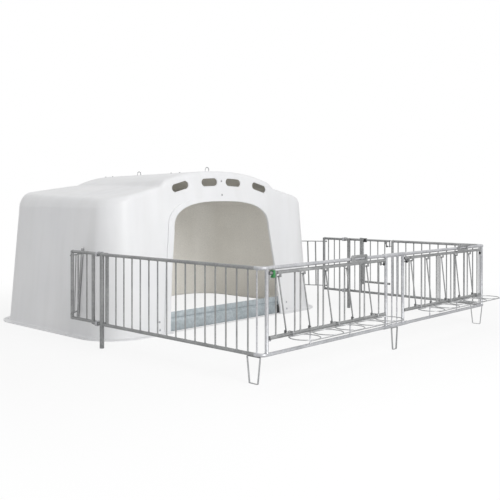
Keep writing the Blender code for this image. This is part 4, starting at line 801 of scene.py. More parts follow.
def makeShell():
    shell = shellSkin()
    skin = shell.modifiers.new("skin", "SOLIDIFY")
    skin.thickness = hutch["skin"]
    skin.offset = -1
    skin.use_even_offset = True
    skin.material_offset = 1
    skin.material_offset_rim = 0
    shell.data.materials.append(finishes["shell"])
    shell.data.materials.append(insideFinish)
    applyAll(shell)
    places = [(side, *place) for side in (-1, 1) for place in vents["places"]]
    cutter = joinUp(flatShape([doorOutline()], doorway["cut"], wallPlace),
                    *[flatShape([slotOutline(*place)], vents["cut"], wallPlace) for place in places])
    withBoolean(shell, cutter, "DIFFERENCE")
    deep = hutch["skin"] + doorway["sunk"]
    lip = flatShape([doorOutline(doorway["lipWide"], 0.001), doorOutline(-doorway["lipIn"], 0.001)],
                    deep + doorway["lipProud"],
                    wallPlace @ Matrix.Translation((0, 0, (doorway["lipProud"] - deep) / 2)))
    withBevel(lip, doorway["lipSoft"], 5, 50)
    rims = [flatShape([slotOutline(*place, vents["rim"]), slotOutline(*place, -0.001)],
                      deep + vents["proud"],
                      wallPlace @ Matrix.Translation((0, 0, (vents["proud"] - deep) / 2)))
                      for place in places]
    rims = [withBevel(rim, vents["soft"], 3, 50) for rim in rims]
    edging = joinUp(lip, *rims)
    edging.data.materials.clear()
    edging.data.materials.append(finishes["shell"])
    withBoolean(shell, edging, "UNION")
    # A thin moulded rib low on the back wall
    inner = BVHTree.FromObject(shell, bpy.context.evaluated_depsgraph_get())
    line = [inner.ray_cast(spot(x, hutchBack - hutch["ribFrom"], z), Vector((0, 1, 0)))[0] for x,
            z in hutch["rib"]]
    rib = bentRod(line, hutch["ribRod"], hutch["ribBend"])
    rib.data.materials.append(insideFinish)
    return finishPiece("hutch_shell", [joinUp(shell, rib)], 32, True)


shell = makeShell()
shellTree = BVHTree.FromObject(shell, bpy.context.evaluated_depsgraph_get())
print("hutch shell", len(shell.data.polygons), "faces")


# Heights of the roof's outer and inner skin at a place in the scene's own frame.
def roofAt(x, y):
    outer = shellTree.ray_cast(Vector((x, y, 3)), Vector((0, 0, -1)))[0].z
    inner = shellTree.ray_cast(Vector((x, y, outer - hutch["skin"] / 2)), Vector((0, 0, -1)))[0].z
    return outer, inner


# Fixings on the hutch
fixings = {
    "eyeX": 0.300, "eyePlaces": (0.732, 2.242), "eyeWide": 0.064, "eyeRod": 0.006, "eyeFoot": 0.024,
    "eyePlateDown": 0.001, "eyeNutDown": 0.0145, "over": 0.02, "gap": 0.0003, "nutRoom": 0.012,
    "strapDown": 0.0005,
    "strapX": -0.300, "strapPlaces": (0.712, 2.182), "boltApart": 0.170, "strapThick": 0.005,
    "strapWide": 0.040,
    "boltR": 0.006, "headR": 0.014, "headTall": 0.008, "headRim": 0.0017, "headDome": 0.82,
    "headTurns": (15, 35, 55, 72),
    "nut": ((0.003, 0.0098), (0.0032, 0.0104), (0.0085, 0.0104), (0.0087, 0.0098)),
    "stiffZ": (1.652, 1.836), "stiffHalf": 0.02, "stiffOver": (0.03, 0.025), "stiffDown": 0.0008,
    "guideBoltX": 1.158, "guideBoltZ": (0.052, 0.144), "guideBoltIn": 0.005,
    "guideOutside": ((0.8, -0.1), (1.4, -0.1), (1.4, 0.4), (0.8, 0.4)), "guideCut": 0.06,
    "guideCutOut": 0.0302,
}
board = {
    "low": 0.010, "high": 0.232, "fold": 0.155, "deep": 0.012, "thick": 0.004, "half": 1.025,
    "clear": 0.0058, "bend": 0.005,
    "foldFoot": 0.020, "foldFace": 0.008,
}


# A washer and a domed head, with its shank inward and a nut at the shank's end.
def domeBolt(inward):
    head, tall, shank, rim = fixings["headR"], fixings["headTall"], fixings["boltR"], fixings["headRim"]
    dome = head * fixings["headDome"]
    profile = [(-inward, shank - 0.001), (-inward + 0.001, shank), (0.0, shank), (0.0001, head),
               (rim - 0.0001, head), (rim, dome)]
    profile += [(rim + (tall - rim) * math.sin(a), dome * math.cos(a))
                for a in map(math.radians, fixings["headTurns"])]
    profile.append((tall, head * 0.1))
    return joinUp(turned(profile, 20), turned([(-inward + z, r) for z, r in fixings["nut"]], 6))


# The bent-rod eyes on the roof, each with its plate under the skin.
def makeEyes():
    f, half = fixings, fixings["eyeWide"] / 2
    for end, back in zip(("front", "rear"), f["eyePlaces"]):
        y = hutch["front"] + back + fenceY
        under = roofAt(f["eyeX"], y)[1]
        low, high = under - f["eyeFoot"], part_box(f"lifting_eye_{end}")[1].z - f["eyeRod"]
        bow = [(f["eyeX"] + half * math.cos(a), y, high - half + half * math.sin(a))
               for a in turns(180, 0, 15)]
        parts = [bentRod([(f["eyeX"] - half, y, low)] + bow + [(f["eyeX"] + half, y, low)], f["eyeRod"])]
        reach, plateTop = half + f["over"], under - f["eyePlateDown"]
        parts.append(block((f["eyeX"] - reach, y - f["strapWide"] / 2, plateTop - f["strapThick"]),
                           (f["eyeX"] + reach, y + f["strapWide"] / 2, plateTop)))
        for x in (f["eyeX"] - half, f["eyeX"] + half):
            top = roofAt(x, y)[0]
            parts.append(smallForm("eyeCollar", (x, y, top), (x, y, top + 1)))
            parts.append(smallForm("eyeNut", (x, y, under - f["eyeNutDown"]), (x, y, under)))
        finishPiece(f"lifting_eye_{end}", parts)


# The straps under the roof and the plate behind the front wall, each with two dome bolts.
def makeStraps():
    f, half = fixings, fixings["strapWide"] / 2
    inward = f["strapThick"] + hutch["skin"] + f["nutRoom"]
    for end, back in zip(("front", "rear"), f["strapPlaces"]):
        y = hutch["front"] + back + fenceY
        bolts = (y - f["boltApart"] / 2, y + f["boltApart"] / 2)
        under = min(roofAt(f["strapX"] + dx, at)[1] for dx in (-half, half)
                    for at in bolts) - f["strapDown"]
        parts = [block((f["strapX"] - half, bolts[0] - f["over"], under - f["strapThick"]),
                       (f["strapX"] + half, bolts[1] + f["over"], under))]
        for at in bolts:
            head = (f["strapX"], at, roofAt(f["strapX"], at)[0] + f["gap"])
            parts.append(laid(domeBolt(inward), head, (f["strapX"], at, 5)))
        finishPiece(f"roof_strap_{end}", parts)
    parts = [laid(domeBolt(inward), onWall(0, z, f["gap"]), onWall(0, z, 1)) for z in f["stiffZ"]]
    low, high = [upWall(z) + over for z, over in zip(f["stiffZ"], (-f["stiffOver"][0], f["stiffOver"][1]))]
    outline = [(-f["stiffHalf"], low), (f["stiffHalf"], low), (f["stiffHalf"], high),
               (-f["stiffHalf"], high)]
    behind = -hutch["skin"] - f["stiffDown"] - f["strapThick"] / 2
    plate = flatShape([outline], f["strapThick"], wallPlace @ Matrix.Translation((0, 0, behind)))
    finishPiece("front_stiffener", parts + [withBevel(plate, 0.001)])


# A black guide at the foot of the door; its bolt heads are cut off outside the wall and made anew in zinc.
def makeGuide(sign, label):
    f = fixings
    body = softened(f"board_guide_{label}", 0.0012)
    outside = flatShape([[(sign * x, up) for x, up in f["guideOutside"]]], f["guideCut"],
                        wallPlace @ Matrix.Translation((0, 0, f["guideCutOut"])))
    withBoolean(body, outside, "DIFFERENCE")
    body.data.materials.append(finishes["black_plastic"])
    x = sign * f["guideBoltX"]
    heads = joinUp(*[laid(domeBolt(f["guideBoltIn"]), onWall(x, z, f["gap"]), onWall(x, z, 1))
                     for z in f["guideBoltZ"]])
    heads.data.materials.append(finishes["bright_zinc"])
    finishPiece(f"board_guide_{label}", [body, heads], keepsFinish=True)


def makeKickBoard():
    near = hutch["skin"] + board["clear"] + board["thick"] / 2
    far, fold = near + board["deep"], upWall(board["fold"])
    line = [(upWall(board["low"]), near), (fold - board["foldFoot"], near), (fold - board["foldFace"], far),
            (fold + board["foldFace"], far), (fold + board["foldFoot"], near),
            (upWall(board["low"] + board["high"]), near)]
    sheet = ribbon([wallPlace @ Vector((0, up, -out)) for up, out in line], (2 * board["half"], 0, 0),
                   board["thick"],
                   board["bend"])
    finishPiece("kick_board", [sheet])


makeEyes()
makeStraps()
makeGuide(-1, "left")
makeGuide(1, "right")
makeKickBoard()
print("roof fittings and kick board")

# The pen's common sizes
pen = {
    "half": 2.100, "top": 1.006, "bottom": 0.256, "rail": 0.017, "bar": 0.0075, "post": 0.017,
    "ground": 0.024, "end": 0.019,
    "postTop": 0.012, "postFoot": 0.012, "boltHole": 0.0066, "boltDeep": 0.026, "spigot": 0.012,
    "elbowBend": 0.055, "elbowEnd": 0.085, "cornerBar": 0.060, "extIn": 0.042, "extBar": 0.012,
    "gap": 0.0003,
}
leftSide = {
    "bars": [0.167 + 0.136 * k for k in range(16)], "groundPost": 2.319, "end": 2.477, "extStart": 2.280,
    "extBars": (2.660, 2.829),
    "extEnd": 2.946, "clamp": 2.398, "wallTube": 3.090, "linkBar": 0.006, "linkBars": (0.62,),
}
rightSide = {
    "bars": [0.148 + 0.1229 * k for k in range(10)], "latchPost": 1.345, "hingePost": 1.875, "after": 1.982,
    "groundPost": 2.089,
    "end": 2.185, "extStart": 2.050, "extBars": (2.225, 2.320, 2.428), "extEnd": 2.511, "clamp": 2.148,
    "wallTube": 2.860,
    "linkBar": 0.0095, "linkBars": (0.41, 0.69),
}
link = {"top": 0.962, "bottom": 0.300, "rod": 0.007, "out": 0.045, "tube": 0.014, "tubeGap": 0.0004,
        "bore": 0.0008, "nut": 0.012,
        "washer": 0.0137, "tubeTop": 1.022, "tubeFoot": 0.200}
railStart = pen["elbowEnd"] + pen["gap"]


# An upright bar between the bottom and the top rail.
def railBar(x, y, low=None, high=None, radius=None):
    return bar(spot(x, y, pen["bottom"] if low is None else low),
               spot(x, y, pen["top"] if high is None else high),
               radius or pen["bar"], pen["rail"], pen["rail"])


# A side rail: a bore for the elbow's spigot at its start, and a plain end inside the post it is welded to.
def sideRail(x, y0, y1, z, openStart=True):
    rail = pen["rail"]
    start, end = spot(x, y0, z), spot(x, y1, z)
    long = (end - start).length
    bore = pen["spigot"] + 0.0008
    profile = [(0.053, bore * 0.98), (0.0525, bore), (0, bore), (0.0001, rail - 0.0006), (0.0007, rail),
               (long - 0.001, rail), (long, rail - 0.001)]
    return laid(turned(profile if openStart else barProfile(long, rail), 24), start, end)


def postCap(radius):
    return [(0.0, radius), (0.0001, radius - 0.0008), (0.0016, radius - 0.0012), (0.0024, radius * 0.72),
            (0.0026, radius * 0.2)]


# A tube post with a pressed cap in its top and a soft edge at its foot.
def cappedPost(x, y, low, high, radius, sides=26):
    cap = [(high - 0.0026 + z, r) for z, r in postCap(radius)]
    profile = [(low, radius - 0.0015), (low + 0.0006, radius - 0.0004), (low + 0.0015, radius)] + cap
    part = turned(profile, sides)
    part.data.transform(Matrix.Translation(spot(x, y, 0)))
    return part


# The weld ring where a rail's end runs into a post.
def railSeam(x, y, z, radius, way):
    start = spot(x, y, z)
    ring = turned([(0, radius), (0.0001, radius + 0.003), (0.003, radius + 0.0024),
                   (0.007, radius + 0.0001)], 24)
    return laid(ring, start, start + Vector(way))


# The hole in a post that a latch bolt slides into.
def boltHole(post, place, way):
    start = place + way * (pen["post"] - pen["boltDeep"])
    return bored(post, pen["boltHole"], start, start + way)


def makeLeftPanel():
    x, side = -pen["half"], leftSide
    parts = [sideRail(x, railStart, side["end"], z) for z in (pen["top"], pen["bottom"])]
    parts += copiesOf(railBar(x, 0), [(0, y, 0) for y in side["bars"]])
    parts.append(cappedPost(x, side["groundPost"], 0, pen["top"] + pen["postTop"], pen["ground"]))
    parts.append(cappedPost(x, side["end"], pen["bottom"] - pen["postFoot"], pen["top"] + pen["postTop"],
                            pen["end"]))
    for z in (pen["top"], pen["bottom"]):
        parts.append(railSeam(x, side["end"] - pen["end"] + 0.002, z, pen["rail"], (0, -1, 0)))
        for way in (-1, 1):
            parts.append(railSeam(x, side["groundPost"] + way * (pen["ground"] - 0.004), z, pen["rail"],
                                  (0, way, 0)))
    finishPiece("left_side_panel", parts)


manDoor = {
    "start": 1.388, "hinge": 1.838, "low": 0.406, "rail": 0.015, "bars": (1.471, 1.587, 1.712),
    "stile": 0.013, "pin": 0.006,
    "pinLong": 0.028, "pinShort": 0.003, "lug": 0.008, "lugHalf": 0.011, "hingePostTop": 0.030,
    "loopEnd": 1.356, "loopLow": 0.956, "loopTop": 1.012, "loopRod": 0.004, "stileFoot": 0.030,
    "stileHead": 0.018, "boltZ": 0.931, "boltBack": 1.455, "guides": (1.3905, 1.444), "knobY": 1.420,
}


def makeRightPanel():
    x, side, door = pen["half"], rightSide, manDoor
    low, high = pen["bottom"], pen["top"]
    stileLow, stileHigh = door["low"] - door["stileFoot"], high + door["stileHead"]
    parts = [sideRail(x, railStart, side["latchPost"], high), sideRail(x, railStart, side["end"], low),
             sideRail(x, side["hingePost"], side["end"], high, False)]
    parts += copiesOf(railBar(x, 0), [(0, y, 0) for y in (*side["bars"], side["after"])])
    latch = cappedPost(x, side["latchPost"], low, high + pen["postTop"], pen["post"])
    parts.append(boltHole(latch, spot(x, side["latchPost"], door["boltZ"]), Vector((0, 1, 0))))
    parts.append(cappedPost(x, side["hingePost"], low, high + door["hingePostTop"], pen["post"]))
    parts.append(cappedPost(x, side["groundPost"], 0, high + pen["postTop"], pen["ground"]))
    # Lugs and pins of the man door's hinges
    half, near = door["lugHalf"], side["hingePost"] - pen["post"] * 0.5
    tongue = [(near, half), (near, -half)]
    tongue += [(door["hinge"] + half * math.cos(a), -half * math.sin(a)) for a in turns(90, 270, 12)]
    for lugLow in (stileLow - pen["gap"] - door["lug"], stileHigh + pen["gap"]):
        plate = flatShape([tongue], door["lug"])
        plate.data.transform(Matrix.Translation(spot(x, 0, lugLow + door["lug"] / 2))
                             @ Matrix.Rotation(math.pi / 2, 4, "Z"))
        parts.append(withBevel(plate, 0.001))
    inStile = door["pinLong"] - door["pinShort"]
    for z0, z1 in ((stileLow - door["lug"] / 2, stileLow + inStile),
                   (stileHigh - inStile, stileHigh + door["lug"] / 2)):
        parts.append(bar(spot(x, door["hinge"], z0), spot(x, door["hinge"], z1), door["pin"]))
    for y, post in ((side["latchPost"], pen["post"]), (side["groundPost"], pen["ground"])):
        for z in (low, high):
            for way in (-1, 1):
                if not (z == high and y == side["latchPost"] and way == 1):
                    parts.append(railSeam(x, y + way * (post - 0.003), z, pen["rail"], (0, way, 0)))
    finishPiece("right_side_panel", parts)


def makeExtension(sign, label, side):
    x = sign * (pen["half"] - pen["extIn"])
    levels = (link["top"], link["bottom"])

    # The middle of the tube that leans on the hutch wall, at this height.
    def tubeAt(z):
        hit, outward = shellTree.ray_cast(spot(sign * 3, side["wallTube"], z), Vector((-sign, 0, 0)))[:2]
        return Vector((hit.x + sign * (link["tube"] + link["tubeGap"]) / abs(outward.x), hit.y, z))

    # A link's rod from that tube through the end post: both ends and its direction.
    def rodLine(z):
        wallEnd, through = tubeAt(z), spot(x, side["extEnd"], z)
        outEnd = through + (through - wallEnd).normalized() * link["out"]
        return wallEnd, outEnd, (outEnd - wallEnd).normalized()

    long = side["extEnd"] - side["extStart"]
    parts = [laid(turned(barProfile(long, pen["rail"]), 24), spot(x, side["extStart"], z), spot(x, 9, z))
             for z in (pen["top"], pen["bottom"])]
    parts += [railBar(x, y) for y in side["extBars"]]
    parts.append(railBar(x, side["extStart"] + pen["extBar"], radius=pen["post"] * 0.8))
    endPost = cappedPost(x, side["extEnd"], pen["bottom"] - pen["postFoot"], pen["top"] + pen["postTop"],
                         pen["end"])
    for z in levels:
        way, middle = rodLine(z)[2], spot(x, side["extEnd"], z)
        bored(endPost, link["rod"] + link["bore"], middle - way * 0.04, middle + way, 0.08)
    parts.append(endPost)
    parts += [railSeam(x, side["extEnd"] - pen["end"] + 0.002, z, pen["rail"], (0, -1, 0))
              for z in (pen["top"], pen["bottom"])]
    finishPiece(f"{label}_extension", parts)

    parts = [tube(tubeAt(link["tubeFoot"]), tubeAt(link["tubeTop"]), link["tube"])]
    for z in levels:
        wallEnd, outEnd, way = rodLine(z)
        parts.append(bar(wallEnd, outEnd, link["rod"], link["tube"], 0))
        parts.append(smallForm("rodNut", outEnd - way * link["nut"], outEnd))
        parts.append(smallForm("rodWasher", outEnd - way * link["washer"], outEnd))
    for share in side["linkBars"]:
        high, low = [rodLine(z)[0].lerp(spot(x, side["extEnd"], z), share) for z in levels]
        parts.append(bar(low, high, side["linkBar"], link["rod"], link["rod"]))
    finishPiece(f"{label}_wall_link", parts)

    for level in ("top", "bottom"):
        node = f"{label}_clamp_{level}"
        parts, top = [softened(node, 0.0022, 3)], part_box(node)[1].z
        for dy in (-0.010, 0.010):
            at = Vector((sign * (pen["half"] - pen["extIn"] / 2), side["clamp"] + fenceY + dy,
                         top - 0.0004))
            parts.append(smallForm("clampScrew", at, at + Vector((0, 0, 1))))
        finishPiece(node, parts)


makeLeftPanel()
makeRightPanel()
makeExtension(-1, "left", leftSide)
makeExtension(1, "right", rightSide)
print("side fences")

# Front fence
front = {
    "midPost": 0.165, "midBar": 0.050, "sleeve": 0.021, "sleeveLow": (-0.210, 0.250),
    "sleeveHigh": (-0.220, 0.190), "railStop": 0.010,
    "cornerPost": 2.040, "stubsLeft": (1.436, 0.805), "stubsRight": (0.748, 1.390), "hinge": 1.998,
    "pin": 0.005, "pinUp": 0.022, "pinTail": 0.030,
    "lug": 0.008, "lugHalf": 0.011, "stopThick": 0.005, "stopReach": 0.225, "stopHalf": 0.012,
    "midWeld": 0.004,
}
gate = {
    "outer": 2.008, "inner": 0.190, "top": 0.960, "low": 0.397, "rail": 0.016, "lowRail": 0.018,
    "places": 5, "pitch": 0.340, "gap": 0.260,
    "first": 1.920, "pivotIn": 0.140, "pivotUp": 0.030, "neckTopIn": 0.035, "neckTopGap": 0.003,
    "neck": 0.007, "neckFoot": 0.009, "neckPin": 0.004,
    "lugBack": 0.010, "lugThick": 0.005, "run": 0.0005, "keeperThick": 0.003, "keeperWide": 0.024,
    "guideThick": 0.005, "guideHalf": 0.012, "guideUp": 0.008, "slideY": 0.018, "slideThick": 0.005,
    "slideHigh": 0.025,
    "boltZ": 0.921, "boltRod": 0.005, "boltLong": 0.092, "stem": 0.020,
    "guides": {"left": (0.262, 0.200), "right": (0.266, 0.229)},
    "knob": {"left": 0.234, "right": 0.211},
}
seatTop = gate["top"] - gate["rail"] - pen["gap"]
seatLow = gate["low"] - gate["lowRail"] - pen["gap"]


# The middle of a front rail from its elbow to the middle of the front.
def cornerLine(sign, z):
    bend = pen["elbowBend"]
    line = [(-pen["half"],
             pen["elbowEnd"])] + [(-pen["half"] + bend + bend * math.cos(a), bend + bend * math.sin(a))
                                            for a in turns(180, 270, 12)]
    return [spot(-sign * x, y, z) for x, y in line + [(-front["railStop"], 0)]]


# A flat lug from x0 whose far end at x1 is rounded.
def tonguePlate(x0, x1, z0, z1, half):
    way = 1 if x1 > x0 else -1
    middle = x1 - way * half
    outline = [(x0, -half), (x0, half)] + [(middle + way * half * math.sin(a), half * math.cos(a))
                                           for a in turns(0, 180, 12)]
    plate = flatShape([outline], z1 - z0)
    plate.data.transform(Matrix.Translation(spot(0, 0, (z0 + z1) / 2)))
    return withBevel(plate, 0.001)


def makeCornerFrame(sign, label, stubs):
    post, hingeX = sign * front["cornerPost"], sign * front["hinge"]
    parts = [bentRod(cornerLine(sign, z), pen["rail"], fine=8) for z in (pen["top"], pen["bottom"])]
    parts.append(railBar(post, 0, radius=pen["post"]))
    parts.append(railBar(sign * pen["half"], pen["cornerBar"]))
    parts += [bar(spot(sign * s, 0, pen["bottom"]), spot(sign * s, 0, seatLow), pen["bar"], pen["rail"], 0)
              for s in stubs]
    for seat in (seatTop, seatLow):
        parts.append(tonguePlate(post, hingeX - sign * front["lugHalf"], seat - front["lug"], seat,
                                 front["lugHalf"]))
    parts.append(bar(spot(hingeX, 0, seatTop - front["lug"] - front["pinTail"]),
                     spot(hingeX, 0, seatTop + front["pinUp"]), front["pin"]))
    parts.append(bar(spot(hingeX, 0, seatLow - front["lug"] - 0.004),
                     spot(hingeX, 0, seatLow + front["pinUp"]), front["pin"]))
    for z in (pen["top"], pen["bottom"]):
        x = sign * pen["half"]
        parts.append(bar(spot(x, pen["elbowEnd"] - 0.02, z), spot(x, pen["elbowEnd"] + 0.050, z),
                         pen["spigot"]))
        collar = turned([(0, pen["rail"] - 0.001), (0.0008, pen["rail"] + 0.0012),
                         (0.0085, pen["rail"] + 0.0012), (0.0093, pen["rail"] - 0.001)], 24)
        parts.append(laid(collar, spot(x, pen["elbowEnd"] - 0.0095, z), spot(x, 9, z)))
    finishPiece(f"{label}_front_frame", parts)


def makeCentreFrame():
    parts, sleeve, near = [], front["sleeve"], gate["rail"] + gate["run"]
    for (x0, x1), z in ((front["sleeveHigh"], pen["top"]), (front["sleeveLow"], pen["bottom"])):
        long, aim = x1 - x0, spot(9, 0, z)
        outer = turned([(0, sleeve - 0.0008), (0.0008, sleeve), (long - 0.0008, sleeve),
                        (long, sleeve - 0.0008)], 28)
        parts.append(bored(laid(outer, spot(x0, 0, z), aim), pen["rail"] + 0.0007, spot(x0 - 0.05, 0, z),
                           aim, long + 0.1, 28))
    low, high = pen["bottom"] + pen["rail"], pen["top"] - pen["rail"]
    for sign in (-1, 1):
        post, thin = [bar(spot(sign * front[name], 0, low), spot(sign * front[name], 0, high), radius,
                          front["midWeld"], front["midWeld"])
                      for name, radius in (("midPost", pen["post"]), ("midBar", pen["bar"]))]
        x = sign * front["midPost"]
        parts += [boltHole(post, spot(x, 0, gate["boltZ"]), Vector((sign, 0, 0))), thin]
        x0, x1 = sorted((x, sign * front["stopReach"]))
        parts.append(block(spot(x0, near, gate["top"] - front["stopHalf"]),
                           spot(x1, near + front["stopThick"], gate["top"] + front["stopHalf"]), 0.0015, 3))
    finishPiece("centre_frame", parts)


makeCornerFrame(-1, "left", front["stubsLeft"])
makeCornerFrame(1, "right", front["stubsRight"])
makeCentreFrame()


# Bent strip feet
feet = {"thick": 0.005, "wide": 0.018, "sideTop": 0.160, "sideLow": 0.104, "midTop": 0.118, "midLow": 0.072,
        "sideY": 0.098}


def makeFoot(node, x, y, halfTop, halfLow, along):
    half = feet["thick"] / 2
    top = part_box(node)[1].z - half
    corners = [(-halfTop + half, top), (halfTop - half, top), (halfLow - half, half),
               (-halfLow + half, half)]
    turn = Vector((along[0], along[1], 0))
    line = [spot(x, y, 0) + turn * a + Vector((0, 0, z)) for a, z in corners]
    start = (line[0] + line[1]) / 2
    path = rounded([start, line[1], line[2], line[3], line[0], start + (line[0] - start) * 0.02], 0.007)
    across = Vector((along[1], -along[0], 0)) * feet["wide"]
    part = ribbon(path, across, feet["thick"], 0.0, 0.0009)
    finishPiece(node, [part])


for node, x in (("left_foot", -pen["half"]), ("right_foot", pen["half"])):
    makeFoot(node, x, feet["sideY"], feet["sideTop"] / 2, feet["sideLow"] / 2, (0, 1))
makeFoot("centre_foot", 0, 0, feet["midTop"] / 2, feet["midLow"] / 2, (1, 0))
print("front frame and feet")

# Feed gates
rack = {"ring": 0.140, "wire": 0.005, "drop": 0.010, "hooks": (0, 2, 4), "bend": 0.012, "rodIn": 0.012,
        "over": 0.070}
neckZ = gate["low"] + gate["pivotUp"]
neckLong = gate["top"] - gate["rail"] - gate["neckTopGap"] - neckZ
neckLean = math.asin((gate["pivotIn"] - gate["neckTopIn"]) / neckLong)
frontFlat = -gate["slideY"] - gate["slideThick"]  # front face of the sliding bars


# The left upright of each feed place.
def placeStarts(label):
    first = -gate["first"] if label == "left" else gate["first"] - (gate["places"]
                                                                    - 1) * gate["pitch"] - gate["gap"]
    return [first + k * gate["pitch"] for k in range(gate["places"])]


# A hanging plate with a rounded foot and the bolt's hole, drawn in (across, height), then set in place.
def guidePlate(railZ, boltZ, place):
    half, hole = gate["guideHalf"], gate["boltRod"] + 0.0004
    outline = [(-half, railZ - gate["guideUp"]), (half, railZ - gate["guideUp"])]
    outline += [(half * math.cos(a), boltZ + 0.001 - half * math.sin(a)) for a in turns(0, 180, 12)]
    around = [(hole * math.cos(a), boltZ + hole * math.sin(a)) for a in turns(0, 342, 19)]
    return withBevel(flatShape([outline, around], gate["guideThick"], place), 0.0007)


# A latch bolt with a tapered nose, from its tip towards aim.
def latchRod(long, tip, aim):
    rod = gate["boltRod"]
    profile = [(0, rod * 0.55), (0.003, rod * 0.92), (0.005, rod), (long - 0.001, rod), (long, rod - 0.001)]
    return laid(turned(profile, 20), tip, aim)


# The thin stem between a bolt and its knob.
def knobStem(start, aim):
    thin = gate["boltRod"] * 0.8
    return laid(turned([(0, thin), (gate["stem"] + 0.001, thin)], 16), start, aim)


def makeGate(sign, label):
    starts = placeStarts(label)
    pivots = [x + gate["pivotIn"] for x in starts]
    ends = sorted((sign * gate["outer"], sign * gate["inner"]))
    parts = []
    for z, radius in ((gate["top"], gate["rail"]), (gate["low"], gate["lowRail"])):
        rail = tube(spot(ends[0], 0, z), spot(ends[1], 0, z), radius, deep=0.012)
        hingeX = sign * front["hinge"]
        under = spot(hingeX, 0, z - radius - 0.02)
        parts.append(bored(rail, front["pin"] + gate["run"], under, spot(hingeX, 0, 9), sides=16))
    upright = bar(spot(0, 0, gate["low"]), spot(0, 0, gate["top"]), pen["bar"], gate["lowRail"],
                  gate["rail"])
    parts += copiesOf(upright, [(x + d, 0, 0) for x in starts for d in (0, gate["gap"])])
    # Pivot lugs with their pins
    for x in pivots:
        outline = [(-0.012, -0.0), (0.012, 0.0)]
        outline += [(0.012 * math.cos(a), neckZ - gate["low"] + 0.001 + 0.011 * math.sin(a))
                    for a in turns(0, 180, 12)]
        lug = flatShape([outline], gate["lugThick"])
        lug.data.transform(Matrix.Translation(spot(x, gate["lugBack"] + gate["lugThick"] / 2, gate["low"]))
                           @ Matrix.Rotation(math.pi / 2, 4, "X"))
        parts.append(withBevel(lug, 0.0008))
        out = gate["neck"] / math.cos(math.pi / 6) + gate["run"]
        pin = turned([(0, gate["neckPin"]), (out + 0.0125, gate["neckPin"]),
                      (out + 0.0126, gate["neckPin"] * 1.7),
                      (out + 0.0148, gate["neckPin"] * 1.6), (out + 0.0155, gate["neckPin"] * 0.9)], 16)
        parts.append(laid(pin, spot(x, gate["lugBack"] + gate["lugThick"] / 2, neckZ), spot(x, -9, neckZ)))
    # Keepers that carry the sliding bar between the places
    thick, near = gate["keeperThick"], frontFlat - gate["run"] - gate["keeperThick"] / 2
    shelf = gate["top"] - gate["slideHigh"] / 2 - gate["run"] - gate["keeperThick"] / 2
    for x in [x + gate["gap"] + (gate["pitch"] - gate["gap"]) / 2 for x in starts[:-1]]:
        line = [spot(x - gate["keeperWide"] / 2, y, z) for y,
                z in ((-0.005, shelf), (near, shelf), (near, gate["top"] - 0.002))]
        parts.append(ribbon([p + Vector((gate["keeperWide"] / 2, 0, 0)) for p in line],
                            (gate["keeperWide"], 0, 0), thick, 0.0035, 0.0006))
    # Hanging plates that guide the latch bolt
    for g in gate["guides"][label]:
        standing = Matrix(((0, 0, 1, 0), (1, 0, 0, 0), (0, 1, 0, 0), (0, 0, 0, 1)))
        parts.append(guidePlate(gate["top"], gate["boltZ"],
                                Matrix.Translation(spot(sign * g, 0, 0)) @ standing))
    finishPiece(f"{label}_gate", parts)

    # Neck bars
    for k, x in enumerate(pivots, 1):
        lean = Vector((-math.sin(neckLean), 0, math.cos(neckLean)))
        pivot = spot(x, 0, neckZ)
        foot = gate["neckFoot"]
        neck = turned([(0, 0.0035), (0.0012, 0.0062), (0.003, gate["neck"]),
                       (foot + neckLong - 0.003, gate["neck"]),
                       (foot + neckLong - 0.0012, 0.0062), (foot + neckLong, 0.0035)], 20)
        neck = laid(neck, pivot - lean * foot, pivot + lean * neckLong)
        bored(neck, gate["neckPin"] + gate["run"], pivot - Vector((0, 0.03, 0)), pivot + Vector((0, 1, 0)),
              sides=16)
        finishPiece(f"{label}_neck_bar_{k}", [neck])

    finishPiece(f"{label}_lock_slide", [softened(f"{label}_lock_slide", 0.0007, 2)])

    # Bucket rack
    middles = [x + gate["pivotIn"] + (gate["gap"] - gate["pivotIn"]) / 2 for x in starts]
    wire = rack["wire"]
    ringY = -(gate["lowRail"] + pen["gap"] + wire / math.cos(math.pi / 6) + rack["ring"])
    ringZ = gate["low"] - rack["drop"]
    rodZ = ringZ - wire * 1.2
    parts = []
    deselect()
    bpy.ops.mesh.primitive_torus_add(major_segments=56, minor_segments=12, major_radius=rack["ring"],
                                     minor_radius=wire, location=spot(0, ringY, ringZ))
    parts += copiesOf(settle(bpy.context.object), [(x, 0, 0) for x in middles])
    for y in (ringY + rack["ring"] - rack["rodIn"], ringY - rack["ring"] + rack["rodIn"]):
        parts.append(bar(spot(middles[0] - rack["over"], y, rodZ),
                         spot(middles[-1] + rack["over"], y, rodZ), wire))
        for x in middles:
            for side in (-1, 1):
                across = math.sqrt(rack["ring"] ** 2 - (rack["ring"] - rack["rodIn"]) ** 2)
                parts.append(smallForm("ringBead", spot(x + side * across, y, rodZ + wire * 0.6),
                                       spot(x + side * across, y, 9)))
    inner = ringY + rack["ring"] - rack["rodIn"]
    over = gate["low"] + gate["lowRail"] + pen["gap"] + wire
    back = gate["lowRail"] + pen["gap"] + wire / math.cos(math.pi / 6)
    for k in rack["hooks"]:
        line = [spot(middles[k], y, z) for y,
                z in ((inner, rodZ), (inner, over), (back, over), (back, gate["low"] - 0.004))]
        parts.append(bentRod(line, wire, rack["bend"]))
    finishPiece(f"{label}_bucket_rack", parts)

    # Latch bolt and knob
    knobX = sign * gate["knob"][label]
    tip = front["midPost"] + pen["post"] + gate["run"]
    z = gate["boltZ"]
    finishPiece(f"{label}_gate_bolt",
                [latchRod(gate["boltLong"], spot(sign * tip, 0, z), spot(sign * 9, 0, z)),
                                       knobStem(spot(knobX, 0.001, z), spot(knobX, -9, z))])
    finishPiece(f"{label}_gate_knob", [knobForm(spot(knobX, 0, z), Vector((0, -1, 0)))])
